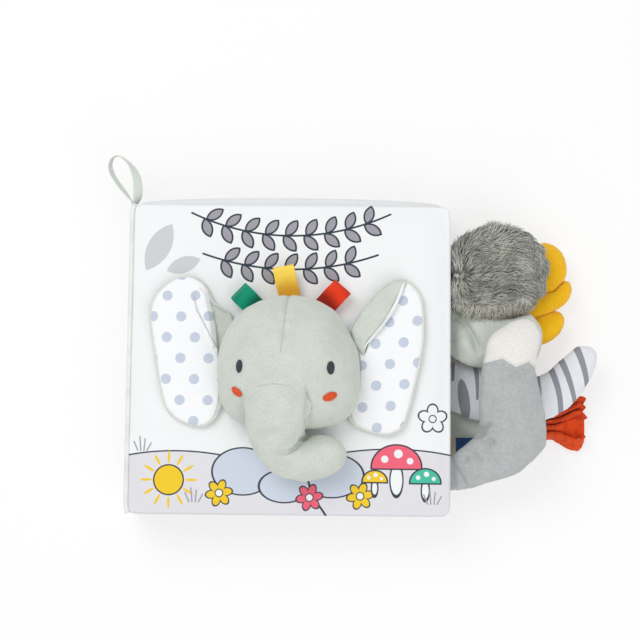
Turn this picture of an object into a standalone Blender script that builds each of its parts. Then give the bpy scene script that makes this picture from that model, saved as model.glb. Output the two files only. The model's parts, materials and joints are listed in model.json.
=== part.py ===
"""Crinkle cloth book with a plush elephant head and five plush tails.

The book lies shut on its back cover, front cover up. X runs from the spine to
the tails, Y up the page and Z up. The origin is the middle of the underside of
the back cover. All lengths are in metres.
"""
import math

import bmesh
import bpy
from mathutils import Matrix, Vector

MM = 0.001
DEGREES = math.pi / 180

# Clearances
CLEAR = 0.3 * MM
STACK_GAP = 0.5 * MM
LIFT_CLEAR = 0.6 * MM
OVERRUN = 2.0 * MM

# Covers and leaves
COVER_WIDTH = 180.0 * MM
COVER_THICKNESS = 8.0 * MM
BOARD_HEIGHT = 174.0 * MM
LEAF_THICKNESS = 6.0 * MM
LEAF_COUNT = 4
FORE_EDGE_SETBACK = 3.0 * MM
STACK_STEP = 0.7 * MM
LEAF_BOW = 3.2 * MM
EDGE_BAND = 18.0 * MM
SEAM_THICKNESS = 1.2 * MM
SEAM_WIDTH = 5.0 * MM
FILLING_INSET = 10.0 * MM
FILLING_CLEAR = 0.6 * MM
CORNER_PULL = 1.8 * MM
CLOTH_WALL = 0.9 * MM
FILM_THICKNESS = 0.4 * MM
HINGE_INSET = 0.3 * MM
BAND_STEP_SHARES = (0.0, 0.33, 1.0)
BOW_POWER = 3
CORNER_POWER = 12

# Spine cloth
SPINE_THICKNESS = 2.0 * MM
SPINE_HINGE_GAP = 1.0 * MM
SPINE_ROUNDING = 0.6 * MM

# Plush head, on the front cover
HEAD_WIDTH = 78.6 * MM
HEAD_HEIGHT = 72.0 * MM
HEAD_DEPTH = 44.0 * MM
HEAD_WIDEST_LEVEL = 12.0 * MM
HEAD_UNDERCUT = 30.0 * MM
HEAD_OFFSET_X = 0.4 * MM
HEAD_OFFSET_Y = -2.0 * MM

# Trunk: shares of the reach to the side, the drop down the page, the height
# above the cover, the half width and the half depth
TRUNK_REACH = 31.0 * MM
TRUNK_DROP = 56.0 * MM
TRUNK_LEVEL = 43.4 * MM
TRUNK_WIDTH = 33.0 * MM
TRUNK_DEPTH = 26.0 * MM
TRUNK_STATION_SHARES = (
    (-0.10, -0.19, 1.00, 0.55, 0.10),
    (-0.15, -0.30, 0.99, 0.82, 0.44),
    (-0.19, -0.46, 0.91, 1.00, 0.77),
    (-0.20, -0.62, 0.73, 1.00, 0.92),
    (-0.18, -0.77, 0.56, 0.94, 0.98),
    (-0.03, -0.93, 0.40, 0.87, 1.00),
    (0.29, -1.00, 0.305, 0.76, 0.95),
    (0.66, -0.96, 0.285, 0.73, 0.90),
    (0.90, -0.915, 0.275, 0.52, 0.62),
    (1.00, -0.885, 0.27, 0.18, 0.22),
)

# Ears: outlines in shares of the ear's width from its root and of its length
EAR_AXIS_LEVEL = 10.0 * MM
EAR_AXIS_INSET = 1.5 * MM
EAR_ROOT_INSET = 3.0 * MM
EAR_LIE = 0.4 * MM
EAR_THICKNESS = 3.7 * MM
EAR_FLOOR = 1.8 * MM
EAR_BORDER = 2.2 * MM
EAR_LINING = 2.0 * MM
EAR_SOFT_EDGE = 0.8 * MM
EAR_LINING_CROWN = 0.7 * MM
EAR_LINING_BAND = 3.5 * MM
EAR_FILM_INSET = 7.0 * MM
LEFT_EAR_WIDTH = 42.6 * MM
LEFT_EAR_LENGTH = 85.0 * MM
LEFT_EAR_LOW = -39.0 * MM
LEFT_EAR_OUTLINE_SHARES = (
    (0.51, 1.00), (0.28, 0.95), (0.17, 0.85), (0.08, 0.67), (0.03, 0.48),
    (0.00, 0.28), (0.03, 0.12), (0.14, 0.03), (0.31, 0.00), (0.54, 0.03),
    (0.75, 0.11), (0.86, 0.31), (0.94, 0.53), (1.00, 0.73), (0.95, 0.85),
    (0.77, 0.95),
)
LEFT_PLEAT_RISE = 2.6 * MM
LEFT_PLEAT_SHARES = (
    (0.405, 0.855), (0.34, 0.90), (0.255, 0.855), (0.175, 0.69), (0.13, 0.53),
    (0.135, 0.515), (0.25, 0.66),
)
RIGHT_EAR_WIDTH = 39.2 * MM
RIGHT_EAR_LENGTH = 88.0 * MM
RIGHT_EAR_LOW = -43.0 * MM
RIGHT_EAR_OUTLINE_SHARES = (
    (0.73, 0.99), (0.89, 0.93), (0.97, 0.84), (0.99, 0.62), (0.89, 0.37),
    (0.73, 0.09), (0.58, 0.02), (0.39, 0.00), (0.13, 0.03), (0.03, 0.11),
    (0.01, 0.25), (0.01, 0.42), (0.00, 0.56), (0.01, 0.68), (0.10, 0.80),
    (0.33, 0.92), (0.55, 0.99),
)
RIGHT_FLAP_RISE = 3.4 * MM
RIGHT_FLAP_SHARES = (
    (0.72, 0.975), (0.55, 0.985), (0.33, 0.915), (0.11, 0.80), (0.025, 0.67),
    (0.03, 0.57), (0.12, 0.50), (0.19, 0.60), (0.45, 0.73), (0.54, 0.83),
)

# Ribbon tags on top of the head
TAG_WIDTH = 12.0 * MM
TAG_CLOTH = 0.7 * MM
TAG_HALF_LOOP = 1.5 * MM
TAG_LEVEL = 4.6 * MM
TAG_TILT = 14 * DEGREES
TAG_ROOT_DEPTH = 7.0 * MM
GREEN_TAG_LENGTH = 11.3 * MM
YELLOW_TAG_LENGTH = 15.8 * MM
RED_TAG_LENGTH = 13.8 * MM
GREEN_TAG_ROOT_SHARES = (-0.535, 0.865)
YELLOW_TAG_ROOT_SHARES = (-0.02, 1.03)
RED_TAG_ROOT_SHARES = (0.50, 0.875)
GREEN_TAG_HEADING = 136 * DEGREES
YELLOW_TAG_HEADING = 103 * DEGREES
RED_TAG_HEADING = 47 * DEGREES

# Embroidered eyes and cheeks, placed in shares of the head's half sizes
EMBROIDERY_PROUD = 1.3 * MM
EYE_WIDTH = 5.2 * MM
EYE_HEIGHT = 7.8 * MM
CHEEK_WIDTH = 8.2 * MM
CHEEK_HEIGHT = 5.4 * MM
EYE_LEFT_SHARES = (-0.664, -0.15)
EYE_RIGHT_SHARES = (0.583, -0.165)
CHEEK_LEFT_SHARES = (-0.695, -0.52)
CHEEK_RIGHT_SHARES = (0.573, -0.58)
CHEEK_TILT = 24 * DEGREES

# Hanging loop at the spine's upper end
LOOP_RIBBON_WIDTH = 6.0 * MM
LOOP_RIBBON_THICKNESS = 0.7 * MM
LOOP_LENGTH = 28.6 * MM
LOOP_SPREAD = 14.2 * MM
LOOP_LEVEL = 34.0 * MM
LOOP_PIVOT_GAP = 1.3 * MM
LOOP_TWIST = 58 * DEGREES
LOOP_STATION_SHARES = (
    (-0.035, -0.02, 0.0), (-0.06, 0.03, 0.0), (-0.33, 0.20, 0.0), (-0.62, 0.38, 0.0),
    (-0.90, 0.60, 0.0), (-0.97, 0.76, 0.1), (-0.90, 0.89, 0.3), (-0.70, 0.96, 0.5),
    (-0.42, 0.90, 0.5), (-0.14, 0.77, 0.5), (0.07, 0.57, 0.8), (0.15, 0.38, 1.0),
    (0.17, 0.19, 1.0), (0.11, 0.06, 0.6), (0.07, -0.01, 0.3),
)

# Tails at the fore-edge. Each table holds shares of the tail's reach from the
# fore-edge, of its travel along Y, its rise, its half width and its half depth
GREY_REACH = 37.0 * MM
GREY_TRAVEL = 84.0 * MM
GREY_RISE = 15.0 * MM
GREY_WIDTH = 36.8 * MM
GREY_DEPTH = 21.0 * MM
GREY_ROOT_Y = -62.0 * MM
GREY_STATION_SHARES = (
    (0.00, 0.000, 0.00, 0.55, 0.10),
    (0.14, 0.000, 0.00, 0.58, 0.18),
    (0.28, 0.012, 0.03, 0.62, 0.46),
    (0.50, 0.060, 0.13, 0.69, 0.80),
    (0.74, 0.118, 0.26, 0.80, 0.95),
    (0.92, 0.190, 0.33, 0.97, 1.00),
    (1.00, 0.315, 0.38, 1.02, 0.97),
    (0.97, 0.452, 0.52, 0.98, 0.92),
    (0.945, 0.600, 0.76, 0.89, 0.83),
    (0.94, 0.702, 0.90, 0.82, 0.78),
    (1.00, 0.810, 0.97, 0.74, 0.72),
    (1.08, 0.893, 1.00, 0.60, 0.63),
    (1.14, 0.960, 1.00, 0.38, 0.42),
    (1.19, 1.000, 1.00, 0.13, 0.15),
)
GREY_SEAM_SHARE = 0.68
ZIGZAG_PITCH = 15.0 * MM
ZIGZAG_HEIGHT = 4.6 * MM
SAGE_REACH = 56.0 * MM
SAGE_TRAVEL = -3.5 * MM
SAGE_RISE = 3.5 * MM
SAGE_WIDTH = 37.0 * MM
SAGE_DEPTH = 16.0 * MM
SAGE_ROOT_Y = 17.5 * MM
SAGE_STATION_SHARES = (
    (0.00, 0.0, 0.00, 0.78, 0.14),
    (0.09, 0.0, 0.06, 0.84, 0.28),
    (0.19, 0.2, 0.43, 0.92, 0.69),
    (0.35, 0.7, 1.00, 1.00, 1.00),
    (0.55, 1.0, 1.00, 0.99, 1.00),
    (0.73, 1.0, 1.00, 0.95, 0.94),
    (0.87, 1.0, 1.00, 0.82, 0.79),
    (0.96, 0.9, 1.00, 0.54, 0.50),
    (1.00, 0.9, 1.00, 0.20, 0.19),
)
TUFT_WIDTH = 54.0 * MM
TUFT_HEIGHT = 51.6 * MM
TUFT_DEPTH = 21.4 * MM
TUFT_POWER = 2.6
TUFT_EDGE_GAP = 0.8 * MM
TUFT_CENTRE_Y = 50.4 * MM
TUFT_RISE = 6.6 * MM
GOLD_REACH = 38.7 * MM
GOLD_DROP = 4.5 * MM
GOLD_ROOT_WIDTH = 40.0 * MM
GOLD_DEPTH = 12.0 * MM
GOLD_ROOT_Y = 37.5 * MM
GOLD_ROOT_SHARES = (
    (0.00, 0.0, 0.00, 0.50, 0.18),
    (0.14, 0.0, 0.11, 0.53, 0.34),
    (0.33, 0.0, 0.67, 0.67, 0.75),
    (0.64, 0.0, 1.00, 0.89, 0.92),
    (1.00, 0.0, 1.00, 1.00, 0.83),
)
LOBE_LENGTH = 36.0 * MM
LOBE_WIDTH = 32.0 * MM
LOBE_LAYER = 1.2 * MM
LOBE_STATION_SHARES = (
    (0.00, 0.50, 0.70),
    (0.27, 0.80, 0.92),
    (0.54, 1.00, 1.00),
    (0.78, 0.94, 0.93),
    (0.93, 0.63, 0.68),
    (1.00, 0.22, 0.28),
)
LOBE_NAMES = ("top", "middle", "bottom")
LOBE_HEADING_DEGREES = (3.0, 14.0, 4.0)
LOBE_ROOT_SHARES = (0.80, -0.22, -0.86)
LOBE_LENGTH_SHARES = (0.90, 1.02, 0.88)
LOBE_WIDTH_SHARES = (1.00, 0.58, 0.61)
STRIPED_REACH = 84.0 * MM
STRIPED_TRAVEL = 26.0 * MM
STRIPED_RISE = 9.5 * MM
STRIPED_WIDTH = 31.0 * MM
STRIPED_DEPTH = 11.6 * MM
STRIPED_ROOT_Y = -16.0 * MM
STRIPED_STATION_SHARES = (
    (0.00, 0.00, 0.00, 0.90, 0.19),
    (0.06, 0.00, 0.05, 0.97, 0.35),
    (0.15, -0.02, 0.37, 1.00, 0.73),
    (0.29, -0.08, 0.63, 0.97, 0.95),
    (0.46, -0.17, 0.68, 0.90, 0.98),
    (0.63, -0.17, 0.68, 0.85, 1.00),
    (0.76, 0.00, 0.74, 0.81, 1.00),
    (0.86, 0.33, 0.84, 0.72, 0.95),
    (0.925, 0.60, 0.95, 0.62, 0.88),
    (0.965, 0.81, 1.00, 0.52, 0.72),
    (0.985, 0.94, 1.00, 0.34, 0.48),
    (0.99, 1.00, 1.00, 0.13, 0.22),
)
FRINGE_REACH = 57.2 * MM
FRINGE_RISE = 1.3 * MM
FRINGE_WIDTH = 20.0 * MM
FRINGE_DEPTH = 9.8 * MM
FRINGE_ROOT_Y = -33.5 * MM
FRINGE_STATION_SHARES = (
    (0.00, 0.0, 0.00, 0.90, 0.22),
    (0.08, 0.0, 0.50, 1.00, 0.53),
    (0.22, 0.0, 1.00, 1.00, 0.93),
    (0.52, 0.0, 1.00, 1.00, 1.00),
    (0.80, 0.0, 1.00, 1.00, 1.00),
    (0.95, 0.0, 1.00, 0.95, 0.86),
    (1.00, 0.0, 1.00, 0.88, 0.70),
)

# Felt strips: five shares of the length along a strip, then for each strip its
# places aside in shares of the tail's width, and its lift and turn at each place
FELT_LENGTH = 26.0 * MM
FELT_SEAT = 5.0 * MM
FELT_WIDTH = 8.6 * MM
FELT_THICKNESS = 1.9 * MM
FELT_LEVEL = 5.3 * MM
FELT_LIFT = 1.8 * MM
FELT_TURN = 80 * DEGREES
FELT_ALONG_SHARES = (0.0, 0.30, 0.60, 0.85, 1.0)
FELT_STRIP_SHARES = (
    ((0.36, 0.44, 0.62, 0.76, 0.70), 0.6, (0.30, 0.28, 0.22, 0.20, 0.30)),
    ((0.18, 0.29, 0.46, 0.56, 0.45), 0.8, (0.30, 0.24, 0.24, 0.34, 0.50)),
    ((0.00, 0.13, 0.29, 0.35, 0.18), 0.6, (0.30, 0.20, 0.20, 0.32, 0.50)),
    ((-0.17, -0.17, -0.14, -0.11, -0.10), -0.9, (0.30, 0.62, 0.92, 1.00, 1.00)),
    ((-0.36, -0.48, -0.55, -0.50, -0.27), 0.2, (0.30, 0.55, 0.62, 0.50, 0.20)),
)
FELT_LENGTH_SHARES = (1.00, 0.97, 1.00, 0.86, 1.01)

# Label at the fore-edge
LABEL_LENGTH = 21.6 * MM
LABEL_WIDTH = 12.0 * MM
LABEL_THICKNESS = 1.2 * MM
LABEL_CENTRE_Y = -48.0 * MM
LABEL_DROOP = 1.5 * MM

# Mesh fineness
LIMB_SIDES = 14
LIMB_STEPS = 2
OUTLINE_STEPS = 2
HEAD_SEGMENTS = 28
HEAD_RINGS = 18
TUFT_SEGMENTS = 22
TUFT_RINGS = 12
PATCH_SEGMENTS = 14
PATCH_RINGS = 8
MERGE_DISTANCE = 0.01 * MM
SMOOTH_ANGLE = 40 * DEGREES

# Colours: linear red, green, blue, then roughness
FINISHES = {
    "cover_cloth": ((0.86, 0.89, 0.92), 0.85),
    "leaf_cloth": ((0.80, 0.84, 0.89), 0.85),
    "wadding": ((0.88, 0.88, 0.86), 0.95),
    "crinkle_film": ((0.75, 0.78, 0.80), 0.25),
    "sage_plush": ((0.60, 0.64, 0.58), 0.95),
    "ear_cotton": ((0.88, 0.89, 0.91), 0.85),
    "charcoal_thread": ((0.04, 0.045, 0.05), 0.6),
    "coral_thread": ((0.72, 0.12, 0.05), 0.6),
    "green_satin": ((0.01, 0.26, 0.15), 0.35),
    "yellow_satin": ((0.88, 0.48, 0.06), 0.35),
    "red_satin": ((0.62, 0.06, 0.03), 0.35),
    "sage_ribbon": ((0.72, 0.76, 0.68), 0.6),
    "grey_plush": ((0.44, 0.46, 0.46), 0.95),
    "white_plush": ((0.88, 0.86, 0.82), 0.95),
    "grey_fur": ((0.27, 0.29, 0.26), 0.95),
    "golden_plush": ((0.83, 0.44, 0.03), 0.95),
    "striped_cloth": ((0.78, 0.81, 0.85), 0.85),
    "orange_felt": ((0.70, 0.10, 0.03), 0.95),
    "navy_ribbon": ((0.01, 0.035, 0.10), 0.5),
}


def start_scene():
    """Clear the scene and make the collections of parts and of cutters."""
    for item in list(bpy.data.objects):
        bpy.data.objects.remove(item, do_unlink=True)
    parts = bpy.data.collections.new("crinkle_cloth_book")
    cutters = bpy.data.collections.new("cutters")
    bpy.context.scene.collection.children.link(parts)
    bpy.context.scene.collection.children.link(cutters)
    return parts, cutters


PARTS, CUTTERS = start_scene()


def finish_material(finish):
    """Return the material of a finish, made the first time it is asked for."""
    found = bpy.data.materials.get(finish)
    if found:
        return found
    colour, roughness = FINISHES[finish]
    material = bpy.data.materials.new(finish)
    material.use_nodes = True
    shader = material.node_tree.nodes["Principled BSDF"]
    shader.inputs["Base Color"].default_value = (*colour, 1.0)
    shader.inputs["Roughness"].default_value = roughness
    shader.inputs["Metallic"].default_value = 0.0
    material.diffuse_color = (*colour, 1.0)
    return material


def add_part(name, mesh, finish, carrier):
    """Add a mesh as a named part that is carried by an empty."""
    mesh.materials.clear()
    mesh.materials.append(finish_material(finish))
    mesh.shade_smooth()
    mesh.set_sharp_from_angle(angle=SMOOTH_ANGLE)
    part = bpy.data.objects.new(name, mesh)
    PARTS.objects.link(part)
    hang_from(part, carrier)
    return part


def hang_from(item, carrier):
    """Parent an object to a joint's empty and keep the place that it has."""
    item.parent = carrier
    item.matrix_parent_inverse = Matrix.Translation(-Vector(carrier["rest_place"]))


def add_cutter(name, mesh):
    """Add a mesh as a hidden cutter."""
    cutter = bpy.data.objects.new(name, mesh)
    CUTTERS.objects.link(cutter)
    cutter.hide_render = True
    cutter.display_type = "WIRE"
    return cutter


def joint_empty(name, place, carrier=None):
    """Add an empty on a joint's axis, carried by the empty of its parent body."""
    empty = bpy.data.objects.new(name, None)
    PARTS.objects.link(empty)
    empty.location = place
    empty["rest_place"] = tuple(place)
    if carrier:
        hang_from(empty, carrier)
    return empty


def boolean(part, cutter, operation="DIFFERENCE"):
    """Cut a part by a cutter, or join them."""
    modifier = part.modifiers.new(operation.lower(), "BOOLEAN")
    modifier.operation = operation
    modifier.object = cutter
    modifier.solver = "EXACT"


def mesh_from(bm, name):
    """Turn a bmesh into a mesh with its faces out and free the bmesh."""
    bmesh.ops.recalc_face_normals(bm, faces=bm.faces)
    mesh = bpy.data.meshes.new(name)
    bm.to_mesh(mesh)
    bm.free()
    return mesh


def grown_cutter(name, mesh):
    """Make a cutter that stands the clearance proud of a neighbour's mesh."""
    cutter = add_cutter(name, mesh.copy())
    grow = cutter.modifiers.new("grow", "DISPLACE")
    grow.strength = CLEAR
    grow.mid_level = 0.0
    return cutter


def smooth_points(points, steps, closed):
    """Return points on a smooth curve through the given points."""
    count = len(points)
    result = []
    spans = count if closed else count - 1
    for index in range(spans):
        if closed:
            near = [points[(index + shift) % count] for shift in (-1, 0, 1, 2)]
        else:
            near = [points[min(max(index + shift, 0), count - 1)] for shift in (-1, 0, 1, 2)]
        for step in range(steps):
            result.append(curve_point(near, step / steps))
    if not closed:
        result.append(Vector(points[-1]))
    return result


def curve_point(near, share):
    """Return the point at a share of the span between the middle two of four points."""
    before, start, end, after = (Vector(point) for point in near)
    slope_in = (end - before) / 2
    slope_out = (after - start) / 2
    square = share * share
    cube = square * share
    return (start * (2 * cube - 3 * square + 1) + slope_in * (cube - 2 * square + share)
            + end * (3 * square - 2 * cube) + slope_out * (cube - square))


# Covers and leaves


def swell(distance):
    """Return how full a board is at a distance from its sewn edge, from 0 to 1."""
    share = min(max(distance, 0.0) / EDGE_BAND, 1.0)
    for low, high in zip(BAND_STEP_SHARES, BAND_STEP_SHARES[1:]):
        if share <= high:
            start = math.sin(math.pi / 2 * low)
            end = math.sin(math.pi / 2 * high)
            return start + (end - start) * (share - low) / (high - low)
    return 1.0


class Board:
    """One cover or leaf of the book: two cloths sewn together round the edge."""

    def __init__(self, name, width, thickness, spine_x, middle_z, shift_y, bow):
        self.name = name
        self.half_width = width / 2
        self.half_height = BOARD_HEIGHT / 2
        self.half_thickness = thickness / 2
        self.centre_x = spine_x + width / 2
        self.middle_z = middle_z
        self.shift_y = shift_y
        self.bow = bow

    def fore_edge_x(self):
        """Return the X of the edge away from the spine."""
        return self.centre_x + self.half_width

    def top_z(self):
        """Return the height of the flat middle of the upper cloth."""
        return self.middle_z + self.half_thickness

    def grid_lines(self, half, inset):
        """Return the places of the lines across a slab, from one edge to the other."""
        steps = [half - EDGE_BAND * share for share in BAND_STEP_SHARES]
        steps.append(steps[-1] / 2)
        side = [half - inset] + [step for step in steps if step < half - inset]
        return [-line for line in side] + [0.0] + side[::-1]

    def outline_place(self, x, y, inset):
        """Return the world X and Y of a place on a slab that is inset from the edge."""
        across = x / (self.half_width - inset)
        along = y / (self.half_height - inset)
        pull = CORNER_PULL * abs(across * along) ** CORNER_POWER
        bow = self.bow * (1.0 - abs(x / self.half_width) ** BOW_POWER)
        world_x = self.centre_x + x - math.copysign(pull, x)
        world_y = self.shift_y + y - math.copysign(pull, y) + bow
        return world_x, world_y

    def cloth_height(self, x, y):
        """Return the height of the cloth's outer side above the middle plane."""
        rim = SEAM_THICKNESS / 2
        fullness = swell(self.half_width - abs(x)) * swell(self.half_height - abs(y))
        return rim + (self.half_thickness - rim) * fullness

    def slab(self, name, inset, upper, lower):
        """Make a slab of the board's outline between two heights over the middle plane.

        upper and lower take the cloth's outer height at a place and give the slab's.
        """
        lines_x = self.grid_lines(self.half_width, inset)
        lines_y = self.grid_lines(self.half_height, inset)
        bm = bmesh.new()
        bmesh.ops.create_grid(bm, x_segments=len(lines_x) - 1, y_segments=len(lines_y) - 1,
                              size=1.0)
        grown = bmesh.ops.extrude_face_region(bm, geom=bm.faces[:], use_keep_orig=True)
        top = {item for item in grown["geom"] if isinstance(item, bmesh.types.BMVert)}
        for vert in bm.verts:
            line_x = lines_x[round((vert.co.x + 1) / 2 * (len(lines_x) - 1))]
            line_y = lines_y[round((vert.co.y + 1) / 2 * (len(lines_y) - 1))]
            x, y = self.outline_place(line_x, line_y, inset)
            height = self.cloth_height(line_x, line_y)
            z = upper(height) if vert in top else lower(height)
            vert.co = (x, y, self.middle_z + z)
        flat = [face for face in bm.faces if abs(face.normal.z) > 0.5 and
                len({round(vert.co.z / MERGE_DISTANCE) for vert in face.verts}) == 1]
        bmesh.ops.dissolve_faces(bm, faces=flat)
        bmesh.ops.triangulate(bm, faces=bm.faces)
        return mesh_from(bm, name)

    def cloth(self, part_name, finish, carrier, side):
        """Add the cloth of one side: 1 for the upper one, -1 for the lower one."""
        seam = CLEAR / 2

        def outer(height):
            return side * height

        def mid_plane(height):
            return side * seam

        def pocket(height):
            return side * (height - CLOTH_WALL)

        def past_seam(height):
            return -side * OVERRUN

        full = (outer, mid_plane) if side > 0 else (mid_plane, outer)
        hollow = (pocket, past_seam) if side > 0 else (past_seam, pocket)
        part = add_part(part_name, self.slab(part_name, 0.0, *full), finish, carrier)
        cutter = add_cutter(part_name + "_pocket",
                            self.slab(part_name + "_pocket", SEAM_WIDTH, *hollow))
        boolean(part, cutter)
        return part

    def filling(self, carrier, with_wadding):
        """Add the crinkle film, and in a cover the wadding below it."""
        inset = FILLING_INSET
        film = FILM_THICKNESS

        def cavity_top(height):
            return height - CLOTH_WALL - FILLING_CLEAR

        if not with_wadding:
            name = self.name + "_film"
            mesh = self.slab(name, inset, lambda height: film / 2, lambda height: -film / 2)
            add_part(name, mesh, "crinkle_film", carrier)
            return
        name = self.name + "_film"
        mesh = self.slab(name, inset, cavity_top, lambda height: cavity_top(height) - film)
        add_part(name, mesh, "crinkle_film", carrier)
        name = self.name + "_wadding"
        mesh = self.slab(name, inset, lambda height: cavity_top(height) - film - CLEAR,
                         lambda height: -cavity_top(height))
        add_part(name, mesh, "wadding", carrier)


def hinge_radius():
    """Return how far a board's sewn edge reaches from its hinge axis."""
    return math.hypot(SEAM_THICKNESS / 2, HINGE_INSET)


def make_boards():
    """Return the six boards from the back cover up to the front cover."""
    spine_x = -COVER_WIDTH / 2
    leaf_x = spine_x + SPINE_THICKNESS / 2 + hinge_radius() + CLEAR - HINGE_INSET
    leaf_width = COVER_WIDTH / 2 - FORE_EDGE_SETBACK - leaf_x
    boards = {}
    z = COVER_THICKNESS / 2
    boards["back_cover"] = Board("back_cover", COVER_WIDTH, COVER_THICKNESS, spine_x, z,
                                 STACK_STEP * (LEAF_COUNT + 1), LEAF_BOW)
    z += (COVER_THICKNESS + LEAF_THICKNESS) / 2 + STACK_GAP
    for number in range(LEAF_COUNT, 0, -1):
        name = f"leaf_{number}"
        boards[name] = Board(name, leaf_width, LEAF_THICKNESS, leaf_x, z,
                             STACK_STEP * number, LEAF_BOW)
        z += LEAF_THICKNESS + STACK_GAP
    z += (COVER_THICKNESS - LEAF_THICKNESS) / 2
    boards["front_cover"] = Board("front_cover", COVER_WIDTH, COVER_THICKNESS, spine_x, z,
                                  0.0, 0.0)
    return boards


BOARDS = make_boards()
FRONT = BOARDS["front_cover"]
BACK = BOARDS["back_cover"]


def board_axis(board):
    """Return the place of a board's hinge axis at the spine."""
    x = board.centre_x - board.half_width + HINGE_INSET
    return Vector((x, 0.0, board.middle_z))


def make_carriers():
    """Add the empties that carry the moving bodies, each on its joint's axis."""
    carriers = {"back_cover": joint_empty("back_cover_carrier", Vector((0.0, 0.0, 0.0)))}
    spine = joint_empty("spine_carrier", board_axis(BACK), carriers["back_cover"])
    carriers["spine"] = spine
    for name, board in BOARDS.items():
        if name != "back_cover":
            carriers[name] = joint_empty(name + "_carrier", board_axis(board), spine)
    cover = carriers["front_cover"]
    level = FRONT.top_z() + EAR_AXIS_LEVEL
    half = HEAD_WIDTH / 2 - EAR_AXIS_INSET
    for side, name in ((-1, "left_ear"), (1, "right_ear")):
        place = Vector((HEAD_OFFSET_X + side * half, 0.0, level))
        carriers[name] = joint_empty(name + "_carrier", place, cover)
    root = trunk_stations()[0]
    place = Vector((root[0], root[1], root[2]))
    carriers["trunk"] = joint_empty("trunk_carrier", place, cover)
    leaf = BOARDS["leaf_1"]
    place = Vector((leaf.fore_edge_x(), 0.0, leaf.middle_z))
    carriers["grey_tail"] = joint_empty("grey_tail_carrier", place, carriers["leaf_1"])
    carriers["loop"] = joint_empty("loop_carrier", loop_pivot(), spine)
    return carriers


# Stuffed forms, ribbons and flat outlines


def stuffed_form(name, stations):
    """Loft a stuffed cloth form through oval sections.

    Each station holds X, Y, Z, the half width in plan and the half depth.
    """
    rows = smooth_stations(stations)
    bm = bmesh.new()
    rings = []
    for index, row in enumerate(rows):
        centre = Vector(row[:3])
        before = Vector(rows[max(index - 1, 0)][:3])
        after = Vector(rows[min(index + 1, len(rows) - 1)][:3])
        heading = (after - before).normalized()
        across = heading.cross(Vector((0.0, 0.0, 1.0))).normalized()
        upward = across.cross(heading)
        ring = []
        for side in range(LIMB_SIDES):
            angle = 2 * math.pi * side / LIMB_SIDES
            offset = across * (row[3] * math.cos(angle)) + upward * (row[4] * math.sin(angle))
            ring.append(bm.verts.new(centre + offset))
        rings.append(ring)
    skin_rings(bm, rings)
    return mesh_from(bm, name)


def smooth_stations(stations):
    """Return the stations with smooth ones between them."""
    places = smooth_points([station[:3] for station in stations], LIMB_STEPS, False)
    sizes = smooth_points([(*station[3:5], 0.0) for station in stations], LIMB_STEPS, False)
    return [(*place, size[0], size[1]) for place, size in zip(places, sizes)]


def skin_rings(bm, rings):
    """Join rings of vertices into a tube and close its two ends."""
    for first, second in zip(rings, rings[1:]):
        count = len(first)
        for index in range(count):
            follow = (index + 1) % count
            bm.faces.new((first[index], first[follow], second[follow], second[index]))
    bm.faces.new(rings[0])
    bm.faces.new(rings[-1])


def tail_stations(table, root, reach, travel, rise, width, depth):
    """Turn a tail's table of shares into stations from its root at a leaf's edge."""
    stations = []
    for share_x, share_y, share_z, wide, deep in table:
        x = root.x + reach * share_x
        y = root.y + travel * share_y
        z = root.z + rise * share_z
        stations.append((x, y, z, width / 2 * wide, depth / 2 * deep))
    return stations


def tail_root(board, root_y, clearance=CLEAR):
    """Return the place where a tail is sewn to a board's fore-edge."""
    return Vector((board.fore_edge_x() + clearance, root_y, board.middle_z))


def ribbon_form(name, route, acrosses, width, thickness):
    """Loft a flat ribbon along a route; acrosses gives its width's direction at each point."""
    bm = bmesh.new()
    rings = []
    for index, point in enumerate(route):
        before = route[max(index - 1, 0)]
        after = route[min(index + 1, len(route) - 1)]
        heading = (after - before).normalized()
        across = acrosses[index]
        across = (across - heading * across.dot(heading)).normalized()
        normal = heading.cross(across)
        ring = []
        for side, face in ((-1, -1), (1, -1), (1, 1), (-1, 1)):
            offset = across * (side * width / 2) + normal * (face * thickness / 2)
            ring.append(bm.verts.new(point + offset))
        rings.append(ring)
    skin_rings(bm, rings)
    return mesh_from(bm, name)


def outline_mesh(name, points, bottom, thickness, rounding):
    """Extrude a closed outline from its lowest height, with its edges rounded."""
    curve = bpy.data.curves.new(name, "CURVE")
    curve.dimensions = "2D"
    curve.fill_mode = "BOTH"
    curve.extrude = thickness / 2 - rounding
    curve.bevel_depth = rounding
    curve.bevel_resolution = 0
    curve.offset = -rounding
    spline = curve.splines.new("POLY")
    spline.points.add(len(points) - 1)
    for spot, point in zip(spline.points, points):
        spot.co = (point[0], point[1], 0.0, 1.0)
    spline.use_cyclic_u = True
    holder = bpy.data.objects.new(name, curve)
    CUTTERS.objects.link(holder)
    holder.location.z = bottom + thickness / 2
    bpy.context.view_layer.update()
    evaluated = holder.evaluated_get(bpy.context.evaluated_depsgraph_get())
    bm = bmesh.new()
    bm.from_mesh(bpy.data.meshes.new_from_object(evaluated))
    bmesh.ops.transform(bm, matrix=holder.matrix_world, verts=bm.verts)
    bpy.data.objects.remove(holder, do_unlink=True)
    bmesh.ops.remove_doubles(bm, verts=bm.verts, dist=MERGE_DISTANCE)
    return mesh_from(bm, name)


# Spine


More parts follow.
